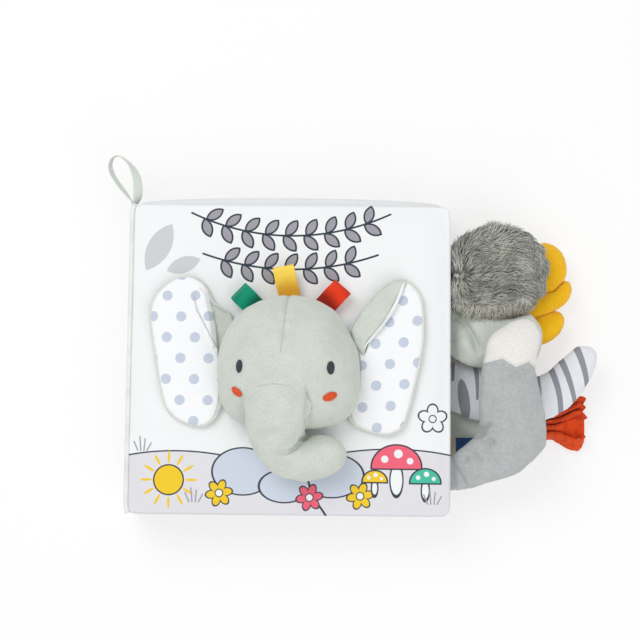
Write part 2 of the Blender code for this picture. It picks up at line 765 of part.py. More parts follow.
def make_spine(carriers):
    """Add the spine cloth, which stands between the two covers' hinges."""
    low = BACK.middle_z + SPINE_HINGE_GAP
    high = FRONT.middle_z - SPINE_HINGE_GAP
    bm = bmesh.new()
    bmesh.ops.create_cube(bm, size=1.0)
    size = Vector((SPINE_THICKNESS, BOARD_HEIGHT, high - low))
    middle = Vector((-COVER_WIDTH / 2, 0.0, (low + high) / 2))
    bmesh.ops.scale(bm, vec=size, verts=bm.verts)
    bmesh.ops.translate(bm, vec=middle, verts=bm.verts)
    bmesh.ops.bevel(bm, geom=bm.edges[:], offset=SPINE_ROUNDING, segments=2, profile=0.5,
                    affect="EDGES")
    add_part("spine_cloth", mesh_from(bm, "spine_cloth"), "cover_cloth", carriers["spine"])


def loop_pivot():
    """Return the place on the spine's upper end about which the hanging loop swings."""
    return Vector((-COVER_WIDTH / 2, BOARD_HEIGHT / 2 + LOOP_PIVOT_GAP, LOOP_LEVEL))


def make_hanging_loop(carriers):
    """Add the ribbon loop: on edge at its far side, turned to lie flatter on the near one."""
    pivot = loop_pivot()
    rows = []
    for share_x, share_y, turn in LOOP_STATION_SHARES:
        rows.append((LOOP_SPREAD * share_x, LOOP_LENGTH * share_y, turn))
    places = smooth_points([(row[0], row[1], 0.0) for row in rows], OUTLINE_STEPS, False)
    turns = smooth_points([(row[2], 0.0, 0.0) for row in rows], OUTLINE_STEPS, False)
    route = [pivot + place for place in places]
    acrosses = []
    for index, turn in enumerate(turns):
        heading = route[min(index + 1, len(route) - 1)] - route[max(index - 1, 0)]
        side = heading.cross(Vector((0.0, 0.0, 1.0))).normalized()
        angle = LOOP_TWIST * turn[0]
        acrosses.append(Vector((0.0, 0.0, math.cos(angle))) + side * math.sin(angle))
    mesh = ribbon_form("hanging_loop", route, acrosses, LOOP_RIBBON_WIDTH,
                       LOOP_RIBBON_THICKNESS)
    add_part("hanging_loop", mesh, "sage_ribbon", carriers["loop"])


# Head


def head_height(share_x, share_y):
    """Return the height of the head over the cover at shares of its half sizes."""
    reach = share_x / head_breadth(share_y)
    rise = math.sqrt(max(1.0 - reach * reach - share_y * share_y, 0.0))
    return HEAD_WIDEST_LEVEL + rise * (HEAD_DEPTH - HEAD_WIDEST_LEVEL)


def head_breadth(share_y):
    """Return how much wider than an oval the head is at a share of its half height."""
    if share_y > 0:
        return 1.0
    square = share_y * share_y
    return math.sqrt(1.0 + square + square * square)


def head_place(share_x, share_y):
    """Return the place on the head's surface at shares of its half sizes."""
    x = HEAD_OFFSET_X + HEAD_WIDTH / 2 * share_x
    y = HEAD_OFFSET_Y + HEAD_HEIGHT / 2 * share_y
    return Vector((x, y, FRONT.top_z() + head_height(share_x, share_y)))


def head_mesh():
    """Return the head: a stuffed dome, full at the cheeks and flat on the cover."""
    bm = bmesh.new()
    bmesh.ops.create_uvsphere(bm, u_segments=HEAD_SEGMENTS, v_segments=HEAD_RINGS, radius=1.0)
    for vert in bm.verts:
        share_x, share_y, share_z = vert.co
        up = HEAD_DEPTH - HEAD_WIDEST_LEVEL if share_z > 0 else HEAD_UNDERCUT
        x = HEAD_OFFSET_X + HEAD_WIDTH / 2 * share_x * head_breadth(share_y)
        y = HEAD_OFFSET_Y + HEAD_HEIGHT / 2 * share_y
        vert.co = (x, y, FRONT.top_z() + HEAD_WIDEST_LEVEL + up * share_z)
    base = Vector((0.0, 0.0, FRONT.top_z() + CLEAR))
    cut = bmesh.ops.bisect_plane(bm, geom=bm.verts[:] + bm.edges[:] + bm.faces[:],
                                 plane_co=base, plane_no=Vector((0.0, 0.0, 1.0)),
                                 clear_inner=True)
    rim = [item for item in cut["geom_cut"] if isinstance(item, bmesh.types.BMEdge)]
    bmesh.ops.contextual_create(bm, geom=rim)
    return mesh_from(bm, "head")


def trunk_stations():
    """Return the trunk's stations from its seam between the eyes to its curled tip."""
    stations = []
    for share_x, share_y, share_z, wide, deep in TRUNK_STATION_SHARES:
        x = TRUNK_REACH * share_x
        y = TRUNK_DROP * share_y
        z = FRONT.top_z() + TRUNK_LEVEL * share_z
        stations.append((x, y, z, TRUNK_WIDTH / 2 * wide, TRUNK_DEPTH / 2 * deep))
    return stations


def embroidery(name, shares, width, height, tilt, finish, head_cutter, carrier):
    """Add an oval patch of thread that lies proud on the head."""
    centre = head_place(*shares)
    step = EMBROIDERY_PROUD / HEAD_WIDTH
    right = head_place(shares[0] + step, shares[1]) - head_place(shares[0] - step, shares[1])
    upward = head_place(shares[0], shares[1] + step) - head_place(shares[0], shares[1] - step)
    normal = right.cross(upward).normalized()
    side = Matrix.Rotation(tilt, 3, normal) @ right.normalized()
    turn = Matrix((side, normal.cross(side), normal)).transposed().to_4x4()
    bm = bmesh.new()
    bmesh.ops.create_uvsphere(bm, u_segments=PATCH_SEGMENTS, v_segments=PATCH_RINGS, radius=1.0)
    size = Vector((width / 2, height / 2, EMBROIDERY_PROUD))
    bmesh.ops.scale(bm, vec=size, verts=bm.verts)
    bmesh.ops.transform(bm, matrix=Matrix.Translation(centre) @ turn, verts=bm.verts)
    part = add_part(name, mesh_from(bm, name), finish, carrier)
    boolean(part, head_cutter)


def ribbon_tag(name, root_shares, length, turn, finish, head_cutter, carrier):
    """Add a satin ribbon folded on itself, sewn in at the head's edge."""
    x = HEAD_OFFSET_X + HEAD_WIDTH / 2 * root_shares[0]
    y = HEAD_OFFSET_Y + HEAD_HEIGHT / 2 * root_shares[1]
    root = Vector((x, y, FRONT.top_z() + TAG_LEVEL))
    heading = Vector((math.cos(turn), math.sin(turn), math.sin(TAG_TILT))).normalized()
    across = Vector((-math.sin(turn), math.cos(turn), 0.0))
    upward = heading.cross(across) * -1
    if upward.z < 0:
        upward = -upward
    bend = length - TAG_HALF_LOOP
    profile = (
        (-TAG_ROOT_DEPTH, -TAG_HALF_LOOP / 2), (0.0, -TAG_HALF_LOOP / 2),
        (bend, -TAG_HALF_LOOP), (length, 0.0), (bend, TAG_HALF_LOOP),
        (0.0, TAG_HALF_LOOP / 2), (-TAG_ROOT_DEPTH, TAG_HALF_LOOP / 2),
    )
    points = [root + heading * out + upward * up for out, up in profile]
    route = smooth_points(points, OUTLINE_STEPS, False)
    mesh = ribbon_form(name, route, [across] * len(route), TAG_WIDTH, TAG_CLOTH)
    part = add_part(name, mesh, finish, carrier)
    boolean(part, head_cutter)


def make_head(carriers):
    """Add the head with its eyes, cheeks, ribbon tags and trunk; return its cutter."""
    cover = carriers["front_cover"]
    mesh = head_mesh()
    add_part("head", mesh, "sage_plush", cover)
    cutter = grown_cutter("head_clearance", mesh)
    embroidery("eye_left", EYE_LEFT_SHARES, EYE_WIDTH, EYE_HEIGHT, 0.0,
               "charcoal_thread", cutter, cover)
    embroidery("eye_right", EYE_RIGHT_SHARES, EYE_WIDTH, EYE_HEIGHT, 0.0,
               "charcoal_thread", cutter, cover)
    embroidery("cheek_left", CHEEK_LEFT_SHARES, CHEEK_WIDTH, CHEEK_HEIGHT, -CHEEK_TILT,
               "coral_thread", cutter, cover)
    embroidery("cheek_right", CHEEK_RIGHT_SHARES, CHEEK_WIDTH, CHEEK_HEIGHT, CHEEK_TILT,
               "coral_thread", cutter, cover)
    ribbon_tag("tag_green", GREEN_TAG_ROOT_SHARES, GREEN_TAG_LENGTH, GREEN_TAG_HEADING,
               "green_satin", cutter, cover)
    ribbon_tag("tag_yellow", YELLOW_TAG_ROOT_SHARES, YELLOW_TAG_LENGTH, YELLOW_TAG_HEADING,
               "yellow_satin", cutter, cover)
    ribbon_tag("tag_red", RED_TAG_ROOT_SHARES, RED_TAG_LENGTH, RED_TAG_HEADING,
               "red_satin", cutter, cover)
    trunk = add_part("trunk", stuffed_form("trunk", trunk_stations()), "sage_plush",
                     carriers["trunk"])
    boolean(trunk, cutter)
    return cutter


class Ear:
    """One ear: a plush tray, a dotted cotton lining in it and crinkle film between."""

    def __init__(self, name, side, width, length, low, outline):
        self.name = name
        self.side = side
        self.width = width
        self.length = length
        self.low = low
        self.outline = outline
        self.root_x = HEAD_OFFSET_X + side * (HEAD_WIDTH / 2 - EAR_ROOT_INSET)
        self.bottom = FRONT.top_z() + EAR_LIE
        self.floor = self.bottom + EAR_FLOOR

    def place(self, share_x, share_y):
        """Return X, Y and zero for shares of the ear's width and length."""
        x = self.root_x + self.side * self.width * share_x
        return x, self.low + self.length * share_y, 0.0

    def points(self, shares, steps):
        """Return a smooth closed outline through shares of the ear's sizes."""
        return smooth_points([self.place(*share) for share in shares], steps, True)

    def inset_points(self, inset):
        """Return the ear's outline moved inwards by an inset."""
        points = self.points(self.outline, 1)
        middle = sum(points, Vector()) / len(points)
        half_width = self.width / 2
        half_length = self.length / 2
        shrink = Vector(((half_width - inset) / half_width,
                         (half_length - inset) / half_length, 0.0))
        smaller = [middle + (point - middle) * shrink for point in points]
        return smooth_points(smaller, OUTLINE_STEPS, True)

    def build(self, carrier, head_cutter):
        """Add the tray, the lining and the film, each cut clear of the head."""
        outer = self.points(self.outline, OUTLINE_STEPS)
        name = self.name + "_back"
        back = add_part(name, outline_mesh(name, outer, self.bottom, EAR_THICKNESS,
                                           EAR_SOFT_EDGE), "sage_plush", carrier)
        hollow = self.inset_points(EAR_BORDER)
        pocket = add_cutter(name + "_pocket", outline_mesh(
            name + "_pocket", hollow, self.floor, EAR_THICKNESS + OVERRUN, 0.0))
        boolean(back, pocket)
        film_points = self.inset_points(EAR_FILM_INSET)
        film_depth = FILM_THICKNESS + 2 * CLEAR
        recess_points = self.inset_points(EAR_FILM_INSET - CLEAR)
        recess = add_cutter(name + "_recess", outline_mesh(
            name + "_recess", recess_points, self.floor - film_depth,
            film_depth + OVERRUN, 0.0))
        boolean(back, recess)
        boolean(back, head_cutter)
        name = self.name + "_film"
        film = add_part(name, outline_mesh(name, film_points,
                                           self.floor - film_depth + CLEAR,
                                           FILM_THICKNESS, 0.0), "crinkle_film", carrier)
        boolean(film, head_cutter)
        name = self.name + "_lining"
        mesh = outline_mesh(name, self.inset_points(EAR_BORDER + CLEAR), self.floor + CLEAR,
                            EAR_LINING, 0.0)
        lining = add_part(name, crowned(mesh), "ear_cotton", carrier)
        boolean(lining, head_cutter)
        return back, lining, film


def crowned(mesh):
    """Raise the middle of a flat piece's top in a soft step, inside a band at its edge."""
    bm = bmesh.new()
    bm.from_mesh(mesh)
    top = [face for face in bm.faces if face.normal.z > math.cos(SMOOTH_ANGLE)]
    bmesh.ops.inset_region(bm, faces=top, thickness=EAR_LINING_BAND, depth=EAR_LINING_CROWN,
                           use_even_offset=True)
    bm.to_mesh(mesh)
    bm.free()
    return mesh


def make_ears(carriers, head_cutter):
    """Add the pleated left ear and the right ear with its folded corner."""
    left = Ear("ear_left", -1, LEFT_EAR_WIDTH, LEFT_EAR_LENGTH, LEFT_EAR_LOW,
               LEFT_EAR_OUTLINE_SHARES)
    back, lining, film = left.build(carriers["left_ear"], head_cutter)
    pleat_points = left.points(LEFT_PLEAT_SHARES, 1)
    pleat = add_cutter("left_pleat", outline_mesh(
        "left_pleat", pleat_points, left.floor + CLEAR + EAR_LINING / 2,
        EAR_LINING / 2 + LEFT_PLEAT_RISE, EAR_SOFT_EDGE))
    boolean(lining, pleat, "UNION")

    right = Ear("ear_right", 1, RIGHT_EAR_WIDTH, RIGHT_EAR_LENGTH, RIGHT_EAR_LOW,
                RIGHT_EAR_OUTLINE_SHARES)
    back, lining, film = right.build(carriers["right_ear"], head_cutter)
    flap_points = right.points(RIGHT_FLAP_SHARES, 1)
    height = EAR_THICKNESS + RIGHT_FLAP_RISE - EAR_FLOOR / 2
    flap_mesh = outline_mesh("right_flap", flap_points, right.bottom + EAR_FLOOR / 2, height,
                             EAR_SOFT_EDGE)
    flap = add_cutter("right_flap", flap_mesh)
    flap_clearance = grown_cutter("right_flap_clearance", flap_mesh)
    boolean(back, flap, "UNION")
    boolean(back, head_cutter)
    boolean(lining, flap_clearance)
    boolean(film, flap_clearance)


# Tails


def zigzag_points(low, high, middle, stations):
    """Return the outline of a block whose lower edge zigzags across the grey tail.

    One of the seam's low points lies at the middle, and the block covers every station.
    """
    reach = max(abs(station[0] - middle) + station[3] for station in stations) + OVERRUN
    teeth = math.ceil(reach / ZIGZAG_PITCH)
    points = []
    for index in range(-2 * teeth, 2 * teeth + 1):
        x = middle + ZIGZAG_PITCH / 2 * index
        y = low + (ZIGZAG_HEIGHT if index % 2 else 0.0)
        points.append((x, y, 0.0))
    points.append((points[-1][0], high, 0.0))
    points.append((points[0][0], high, 0.0))
    return points


def make_grey_tail(carriers):
    """Add the grey tail and its white tip, which meet at a zigzag seam."""
    leaf = BOARDS["leaf_1"]
    root = tail_root(leaf, GREY_ROOT_Y, LIFT_CLEAR)
    stations = tail_stations(GREY_STATION_SHARES, root, GREY_REACH, GREY_TRAVEL, GREY_RISE,
                             GREY_WIDTH, GREY_DEPTH)
    seam_x = root.x + GREY_REACH
    seam_y = root.y + GREY_TRAVEL * GREY_SEAM_SHARE
    far_y = root.y + GREY_TRAVEL + GREY_WIDTH
    whole = stuffed_form("grey_tail", stations)
    grey = add_part("grey_tail", whole, "grey_plush", carriers["grey_tail"])
    tip = add_part("grey_tail_tip", whole.copy(), "white_plush", carriers["grey_tail"])
    low = root.z - GREY_DEPTH
    height = 2 * GREY_DEPTH + GREY_RISE
    above = zigzag_points(seam_y, far_y, seam_x, stations)
    boolean(grey, add_cutter("above_seam", outline_mesh("above_seam", above, low, height, 0.0)))
    below = zigzag_points(seam_y + CLEAR * 2, root.y - GREY_WIDTH, seam_x, stations)
    boolean(tip, add_cutter("below_seam", outline_mesh("below_seam", below, low, height, 0.0)))


def make_sage_tail(carriers):
    """Add the sage tail and the faux-fur tuft at its end."""
    leaf = BOARDS["leaf_2"]
    root = tail_root(leaf, SAGE_ROOT_Y)
    stations = tail_stations(SAGE_STATION_SHARES, root, SAGE_REACH, SAGE_TRAVEL, SAGE_RISE,
                             SAGE_WIDTH, SAGE_DEPTH)
    tail = add_part("sage_tail", stuffed_form("sage_tail", stations), "sage_plush",
                    carriers["leaf_2"])
    bm = bmesh.new()
    bmesh.ops.create_uvsphere(bm, u_segments=TUFT_SEGMENTS, v_segments=TUFT_RINGS, radius=1.0)
    x = COVER_WIDTH / 2 + TUFT_EDGE_GAP + TUFT_WIDTH / 2
    centre = Vector((x, TUFT_CENTRE_Y, root.z + TUFT_RISE))
    for vert in bm.verts:
        total = sum(abs(share) ** TUFT_POWER for share in vert.co)
        share = vert.co / total ** (1 / TUFT_POWER)
        size = Vector((TUFT_WIDTH, TUFT_HEIGHT, TUFT_DEPTH)) / 2
        vert.co = centre + share * size
    mesh = mesh_from(bm, "fur_tuft")
    add_part("fur_tuft", mesh, "grey_fur", carriers["leaf_2"])
    boolean(tail, grown_cutter("tuft_clearance", mesh))


def make_golden_fan(carriers):
    """Add the golden fan: a flat root at the leaf and three stuffed lobes.

    Each lobe lies a little lower than the one before it, which laps over its edge.
    """
    leaf = BOARDS["leaf_3"]
    carrier = carriers["leaf_3"]
    root = tail_root(leaf, GOLD_ROOT_Y)
    stations = tail_stations(GOLD_ROOT_SHARES, root, GOLD_REACH, 0.0, -GOLD_DROP,
                             GOLD_ROOT_WIDTH, GOLD_DEPTH)
    add_part("golden_tail_root", stuffed_form("golden_tail_root", stations),
             "golden_plush", carrier)
    root_mesh = stuffed_form("golden_root_clearance", stations)
    cutters = [grown_cutter("golden_root_clearance", root_mesh)]
    places = zip(LOBE_NAMES, LOBE_HEADING_DEGREES, LOBE_ROOT_SHARES, LOBE_LENGTH_SHARES,
                 LOBE_WIDTH_SHARES)
    for number, (name, turn, root_share, long_share, wide_share) in enumerate(places):
        heading = Vector((math.cos(turn * DEGREES), math.sin(turn * DEGREES), 0.0))
        y = root.y + GOLD_ROOT_WIDTH / 2 * root_share
        z = root.z - GOLD_DROP - LOBE_LAYER * number
        start = Vector((root.x + GOLD_REACH + CLEAR, y, z))
        lobe = []
        for along, wide, deep in LOBE_STATION_SHARES:
            place = start + heading * (LOBE_LENGTH * long_share * along)
            half_width = LOBE_WIDTH / 2 * wide * wide_share
            lobe.append((*place, half_width, GOLD_DEPTH / 2 * deep))
        mesh = stuffed_form("golden_lobe_" + name, lobe)
        part = add_part("golden_lobe_" + name, mesh, "golden_plush", carrier)
        for cutter in cutters:
            boolean(part, cutter)
        cutters.append(grown_cutter("golden_" + name + "_clearance", mesh))


def make_striped_tail(carriers):
    """Add the striped cloth tail, which curls up the page at its end."""
    leaf = BOARDS["leaf_4"]
    root = tail_root(leaf, STRIPED_ROOT_Y)
    stations = tail_stations(STRIPED_STATION_SHARES, root, STRIPED_REACH, STRIPED_TRAVEL,
                             STRIPED_RISE, STRIPED_WIDTH, STRIPED_DEPTH)
    add_part("striped_tail", stuffed_form("striped_tail", stations), "striped_cloth",
             carriers["leaf_4"])


def make_fringe_tail(carriers):
    """Add the sage tail on the back cover with its fringe of curled felt strips."""
    carrier = carriers["back_cover"]
    root = tail_root(BACK, FRINGE_ROOT_Y)
    stations = tail_stations(FRINGE_STATION_SHARES, root, FRINGE_REACH, 0.0, FRINGE_RISE,
                             FRINGE_WIDTH, FRINGE_DEPTH)
    add_part("fringe_tail", stuffed_form("fringe_tail", stations), "sage_plush", carrier)
    start_x = root.x + FRINGE_REACH + CLEAR
    for number, (asides, lift, turns) in enumerate(FELT_STRIP_SHARES):
        length = FELT_LENGTH * FELT_LENGTH_SHARES[number] - FELT_SEAT
        places = [(start_x, root.y + FRINGE_WIDTH * asides[0], FELT_LEVEL)]
        angles = [(FELT_TURN * turns[0], 0.0, 0.0)]
        for along, aside, turn in zip(FELT_ALONG_SHARES, asides, turns):
            x = start_x + FELT_SEAT + length * along
            z = FELT_LEVEL + FELT_LIFT * lift * along
            places.append((x, root.y + FRINGE_WIDTH * aside, z))
            angles.append((FELT_TURN * turn, 0.0, 0.0))
        route = smooth_points(places, LIMB_STEPS, False)
        acrosses = []
        for angle in smooth_points(angles, LIMB_STEPS, False):
            acrosses.append(Vector((0.0, math.sin(angle.x), math.cos(angle.x))))
        name = f"felt_strip_{number + 1}"
        mesh = ribbon_form(name, route, acrosses, FELT_WIDTH, FELT_THICKNESS)
        add_part(name, mesh, "orange_felt", carrier)


def make_label(carriers):
    """Add the bare folded label that is sewn in at the lowest leaf's fore-edge."""
    root = tail_root(BOARDS["leaf_4"], LABEL_CENTRE_Y)
    shares = (0.0, 0.5, 1.0)
    places = []
    for share in shares:
        drop = Vector((LABEL_LENGTH * share, 0.0, -LABEL_DROOP * share * share))
        places.append(root + drop)
    route = smooth_points(places, OUTLINE_STEPS, False)
    across = Vector((0.0, 1.0, 0.0))
    mesh = ribbon_form("label", route, [across] * len(route), LABEL_WIDTH, LABEL_THICKNESS)
    add_part("label", mesh, "navy_ribbon", carriers["leaf_4"])


def make_board_parts(carriers):
    """Add the cloths and the fillings of every cover and leaf."""
    for name, board in BOARDS.items():
        carrier = carriers[name]
        if name == "front_cover":
            board.cloth(name + "_outer_cloth", "cover_cloth", carrier, 1)
            board.cloth(name + "_inner_cloth", "leaf_cloth", carrier, -1)
            board.filling(carrier, True)
        elif name == "back_cover":
            board.cloth(name + "_inner_cloth", "leaf_cloth", carrier, 1)
            board.cloth(name + "_outer_cloth", "cover_cloth", carrier, -1)
            board.filling(carrier, True)
        else:
            board.cloth(name + "_front_cloth", "leaf_cloth", carrier, 1)
            board.cloth(name + "_back_cloth", "leaf_cloth", carrier, -1)
            board.filling(carrier, False)


def main():
    """Build the whole book."""
    carriers = make_carriers()
    make_board_parts(carriers)
    make_spine(carriers)
    make_hanging_loop(carriers)
    head_cutter = make_head(carriers)
    make_ears(carriers, head_cutter)
    make_grey_tail(carriers)
    make_sage_tail(carriers)
    make_golden_fan(carriers)
    make_striped_tail(carriers)
    make_fringe_tail(carriers)
    make_label(carriers)


main()
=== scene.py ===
"""Dress the crinkle cloth book: padded pages, plush head and tails, ribbons and a plain studio.

The book lies shut on its back cover. X runs from the spine to the tails, Y up the page and Z up.
"""
import json
import logging
import math
import random
from dataclasses import dataclass, field
from enum import Enum
from typing import Callable, Iterable, Sequence

import bpy
from mathutils import Matrix, Vector, noise
from mathutils.bvhtree import BVHTree

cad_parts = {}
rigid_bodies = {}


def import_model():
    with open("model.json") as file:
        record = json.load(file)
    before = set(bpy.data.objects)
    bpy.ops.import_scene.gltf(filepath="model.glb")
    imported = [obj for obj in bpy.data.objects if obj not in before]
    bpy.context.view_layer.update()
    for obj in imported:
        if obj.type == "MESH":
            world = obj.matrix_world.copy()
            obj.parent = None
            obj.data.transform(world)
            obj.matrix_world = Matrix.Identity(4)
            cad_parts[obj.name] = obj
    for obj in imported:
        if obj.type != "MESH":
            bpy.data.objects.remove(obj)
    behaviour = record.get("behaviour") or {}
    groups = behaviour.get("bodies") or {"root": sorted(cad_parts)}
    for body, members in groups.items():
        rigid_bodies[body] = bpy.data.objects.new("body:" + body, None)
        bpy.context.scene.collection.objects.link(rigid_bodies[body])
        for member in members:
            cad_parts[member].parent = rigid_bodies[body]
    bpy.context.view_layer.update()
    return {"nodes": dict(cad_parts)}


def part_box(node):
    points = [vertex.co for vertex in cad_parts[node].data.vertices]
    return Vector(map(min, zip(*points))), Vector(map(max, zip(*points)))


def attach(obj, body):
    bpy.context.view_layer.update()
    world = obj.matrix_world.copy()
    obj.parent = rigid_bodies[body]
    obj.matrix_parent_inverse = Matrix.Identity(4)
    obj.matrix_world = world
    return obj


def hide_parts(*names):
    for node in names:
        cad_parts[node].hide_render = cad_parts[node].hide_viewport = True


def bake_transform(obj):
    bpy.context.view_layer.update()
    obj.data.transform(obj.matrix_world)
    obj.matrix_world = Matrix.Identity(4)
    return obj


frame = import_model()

LOG = logging.getLogger("crinkle_book")

MM = 0.001
WELD = 0.00001
POLYESTER_PITCH = 0.7
COTTON_PITCH = 0.6

Colour = tuple[float, float, float]
Spot = tuple[float, float]
Piece = bpy.types.Object
Socket = bpy.types.NodeSocket
Mover = Callable[..., Vector]


def linear(code: str) -> Colour:
    """Turn a written colour into the linear one that a shader takes."""
    shares = [int(code[start:start + 2], 16) / 255 for start in (0, 2, 4)]
    return tuple(c / 12.92 if c <= 0.04045 else ((c + 0.055) / 1.055) ** 2.4 for c in shares)


class Dye(Enum):
    """The colours of the book's cloths, plushes, inks and ribbons."""

    COVER = "f3f5f6"
    # Painted shadow along the left ear's fold.
    FOLD_SHADOW = "aeb6b0"
    EDGE = "eef1ec"
    HILL = "e2e1e6"
    INK = "22303f"
    GREY_PRINT = "a19da6"
    PALE_GREY = "cdd0d2"
    SKY = "cfd7e5"
    YELLOW = "f3cc1e"
    CORAL = "f2637a"
    TEAL = "45bfa2"
    PAGE = "e6ebf2"
    CREAM = "f3efe2"
    MINT = "e0ede4"
    BLUSH = "f4e6e6"
    SAGE = "dadfd7"
    SAGE_SHADE = "bac2b7"
    PIPING = "e3e7df"
    PIPING_SHADE = "cfd5ca"
    EAR_COTTON = "f8f9fb"
    EAR_DOT = "c8d0e1"
    GREY_PLUSH = "bfc2c2"
    GREY_SHADE = "9fa2a2"
    TIP = "f4f2ee"
    TIP_SHADE = "dcd9d4"
    ZEBRA = "e7eaef"
    ZEBRA_STRIPE = "92929c"
    FUR_LIGHT = "d0d1ca"
    FUR_MIDDLE = "979a92"
    FUR_DARK = "545851"
    FUR_BEIGE = "d6d0c2"
    GOLD = "ffc81e"
    GOLD_SHADE = "e8a806"
    FELT = "ea5620"
    FELT_SHADE = "c22e04"
    CHARCOAL = "45494e"
    CORAL_THREAD = "f45a1e"
    GREEN = "00a07c"
    GREEN_SHADE = "004f3c"
    YELLOW_SATIN = "ffdc58"
    YELLOW_SHADE = "e2a028"
    RED = "ea3a10"
    RED_SHADE = "8c1a06"
    RIBBON = "e0e7df"
    RIBBON_SHADE = "c9d2c8"
    NAVY = "1c4478"
    NAVY_SHADE = "13305a"
    BEIGE = "b9b3a1"
    FILM = "dfe4e8"
    WADDING = "f2f1ed"
    FLOOR = "fcfcfc"

    @property
    def colour(self) -> Colour:
        """The colour in linear red, green and blue."""
        return linear(self.value)


def math_of(operation: str) -> Callable[..., "Value"]:
    """Return a method of Value that adds a Math node of one operation."""
    return lambda own, *others: own.math(operation, *others)


class Value:
    """A number that varies over a surface; operators on it add Math nodes."""

    def __init__(self, recipe: "Recipe", socket: Socket) -> None:
        """Wrap a socket of a recipe."""
        self.recipe = recipe
        self.socket = socket

    def math(self, operation: str, *others: "Value | float") -> "Value":
        """Add a Math node on this value."""
        inputs = dict(enumerate((self, *others)))
        made = self.recipe.node("ShaderNodeMath", {"operation": operation}, inputs)
        return Value(self.recipe, made.outputs[0])

    def reflected(self, operation: str, first: float) -> "Value":
        """Add a Math node whose first number is a plain one."""
        made = self.recipe.node("ShaderNodeMath", {"operation": operation}, {0: first, 1: self})
        return Value(self.recipe, made.outputs[0])

    __add__ = __radd__ = math_of("ADD")
    __sub__ = math_of("SUBTRACT")
    __mul__ = __rmul__ = math_of("MULTIPLY")
    __truediv__ = math_of("DIVIDE")
    __mod__ = math_of("FLOORED_MODULO")
    __abs__ = math_of("ABSOLUTE")
    sine = math_of("SINE")
    cosine = math_of("COSINE")
    floor = math_of("FLOOR")
    least = math_of("MINIMUM")
    most = math_of("MAXIMUM")

    def __rsub__(self, other: float) -> "Value":
        """Take this value from a plain number."""
        return self.reflected("SUBTRACT", other)

    def __rtruediv__(self, other: float) -> "Value":
        """Divide a plain number by this value."""
        return self.reflected("DIVIDE", other)

    def __neg__(self) -> "Value":
        """Turn the sign."""
        return self.math("MULTIPLY", -1.0)

    def rise(self, low: float, high: float) -> "Value":
        """Go softly from 0 at low to 1 at high."""
        inputs = {"Value": self, "From Min": low, "From Max": high}
        made = self.recipe.node("ShaderNodeMapRange", {"interpolation_type": "SMOOTHSTEP"}, inputs)
        return Value(self.recipe, made.outputs["Result"])

    def fall(self, low: float, high: float) -> "Value":
        """Go softly from 1 at low to 0 at high."""
        return 1.0 - self.rise(low, high)


Paint = Dye | Colour | Socket


class Recipe:
    """A material's node tree, made by plain calls."""

    def __init__(self, name: str) -> None:
        """Start an empty material with its surface shader and its place in millimetres."""
        self.material = bpy.data.materials.new(name)
        self.material.use_nodes = True
        self.tree = self.material.node_tree
        self.tree.nodes.clear()
        self.shader = self.tree.nodes.new("ShaderNodeBsdfPrincipled")
        output = self.tree.nodes.new("ShaderNodeOutputMaterial")
        self.tree.links.new(self.shader.outputs[0], output.inputs["Surface"])
        coordinates = self.node("ShaderNodeTexCoord", {}, {})
        scaled = self.node("ShaderNodeVectorMath", {"operation": "SCALE"},
                           {"Vector": coordinates.outputs["Object"], "Scale": 1 / MM})
        self.place = scaled.outputs[0]
        parts = self.node("ShaderNodeSeparateXYZ", {}, {0: self.place})
        self.x, self.y, self.z = (Value(self, socket) for socket in parts.outputs)

    def node(self, kind: str, settings: dict, inputs: dict) -> bpy.types.Node:
        """Add a node.

        Args:
            kind: the node's type.
            settings: its properties, set first.
            inputs: values or links for its sockets, by name or number.

        Returns:
            The node.
        """
        made = self.tree.nodes.new(kind)
        for key, setting in settings.items():
            setattr(made, key, setting)
        for key, given in inputs.items():
            self.feed(made.inputs[key], given)
        return made

    def feed(self, socket: Socket, given: "Value | Paint | float") -> None:
        """Link or set one input socket.

        Args:
            socket: the input.
            given: a value, a socket, a number or a colour.
        """
        if isinstance(given, Dye):
            given = given.colour
        if isinstance(given, Value):
            self.tree.links.new(given.socket, socket)
        elif isinstance(given, Socket):
            self.tree.links.new(given, socket)
        elif isinstance(given, tuple) and socket.type == "RGBA":
            socket.default_value = (*given[:3], 1.0)
        else:
            socket.default_value = given

    def mix(self, share: "Value | float", first: Paint, second: Paint) -> Socket:
        """Mix two colours."""
        made = self.node("ShaderNodeMix", {"data_type": "RGBA"}, {0: share, 6: first, 7: second})
        return made.outputs[2]

    def cloud(self, size: float, detail: float = 2.0, roughness: float = 0.5,
              place: Socket | None = None) -> Value:
        """Add soft noise."""
        made = self.node("ShaderNodeTexNoise", {}, {
            "Vector": place or self.place, "Scale": 1 / size, "Detail": detail,
            "Roughness": roughness})
        return Value(self, made.outputs["Fac"])

    def stretched(self, turn: float, scale: tuple[float, float, float]) -> Socket:
        """Turn the place about Z and scale it, for grain that runs one way."""
        made = self.node("ShaderNodeMapping", {}, {
            "Vector": self.place, "Rotation": (0.0, 0.0, math.radians(turn)), "Scale": scale})
        return made.outputs[0]

    def bump(self, height: Value, depth: float, strength: float = 1.0) -> None:
        """Give the surface relief."""
        made = self.node("ShaderNodeBump", {}, {
            "Height": height, "Distance": depth * MM, "Strength": strength})
        self.tree.links.new(made.outputs[0], self.shader.inputs["Normal"])

    def dress(self, colour: Paint, roughness: "Value | float") -> None:
        """Give the surface its colour and roughness."""
        self.feed(self.shader.inputs["Base Color"], colour)
        self.feed(self.shader.inputs["Roughness"], roughness)

    def constant(self, **levels: float) -> None:
        """Set plain numbers on the shader's own sockets, with _ for a blank in a name."""
        for name, level in levels.items():
            self.shader.inputs[name.replace("_", " ")].default_value = level


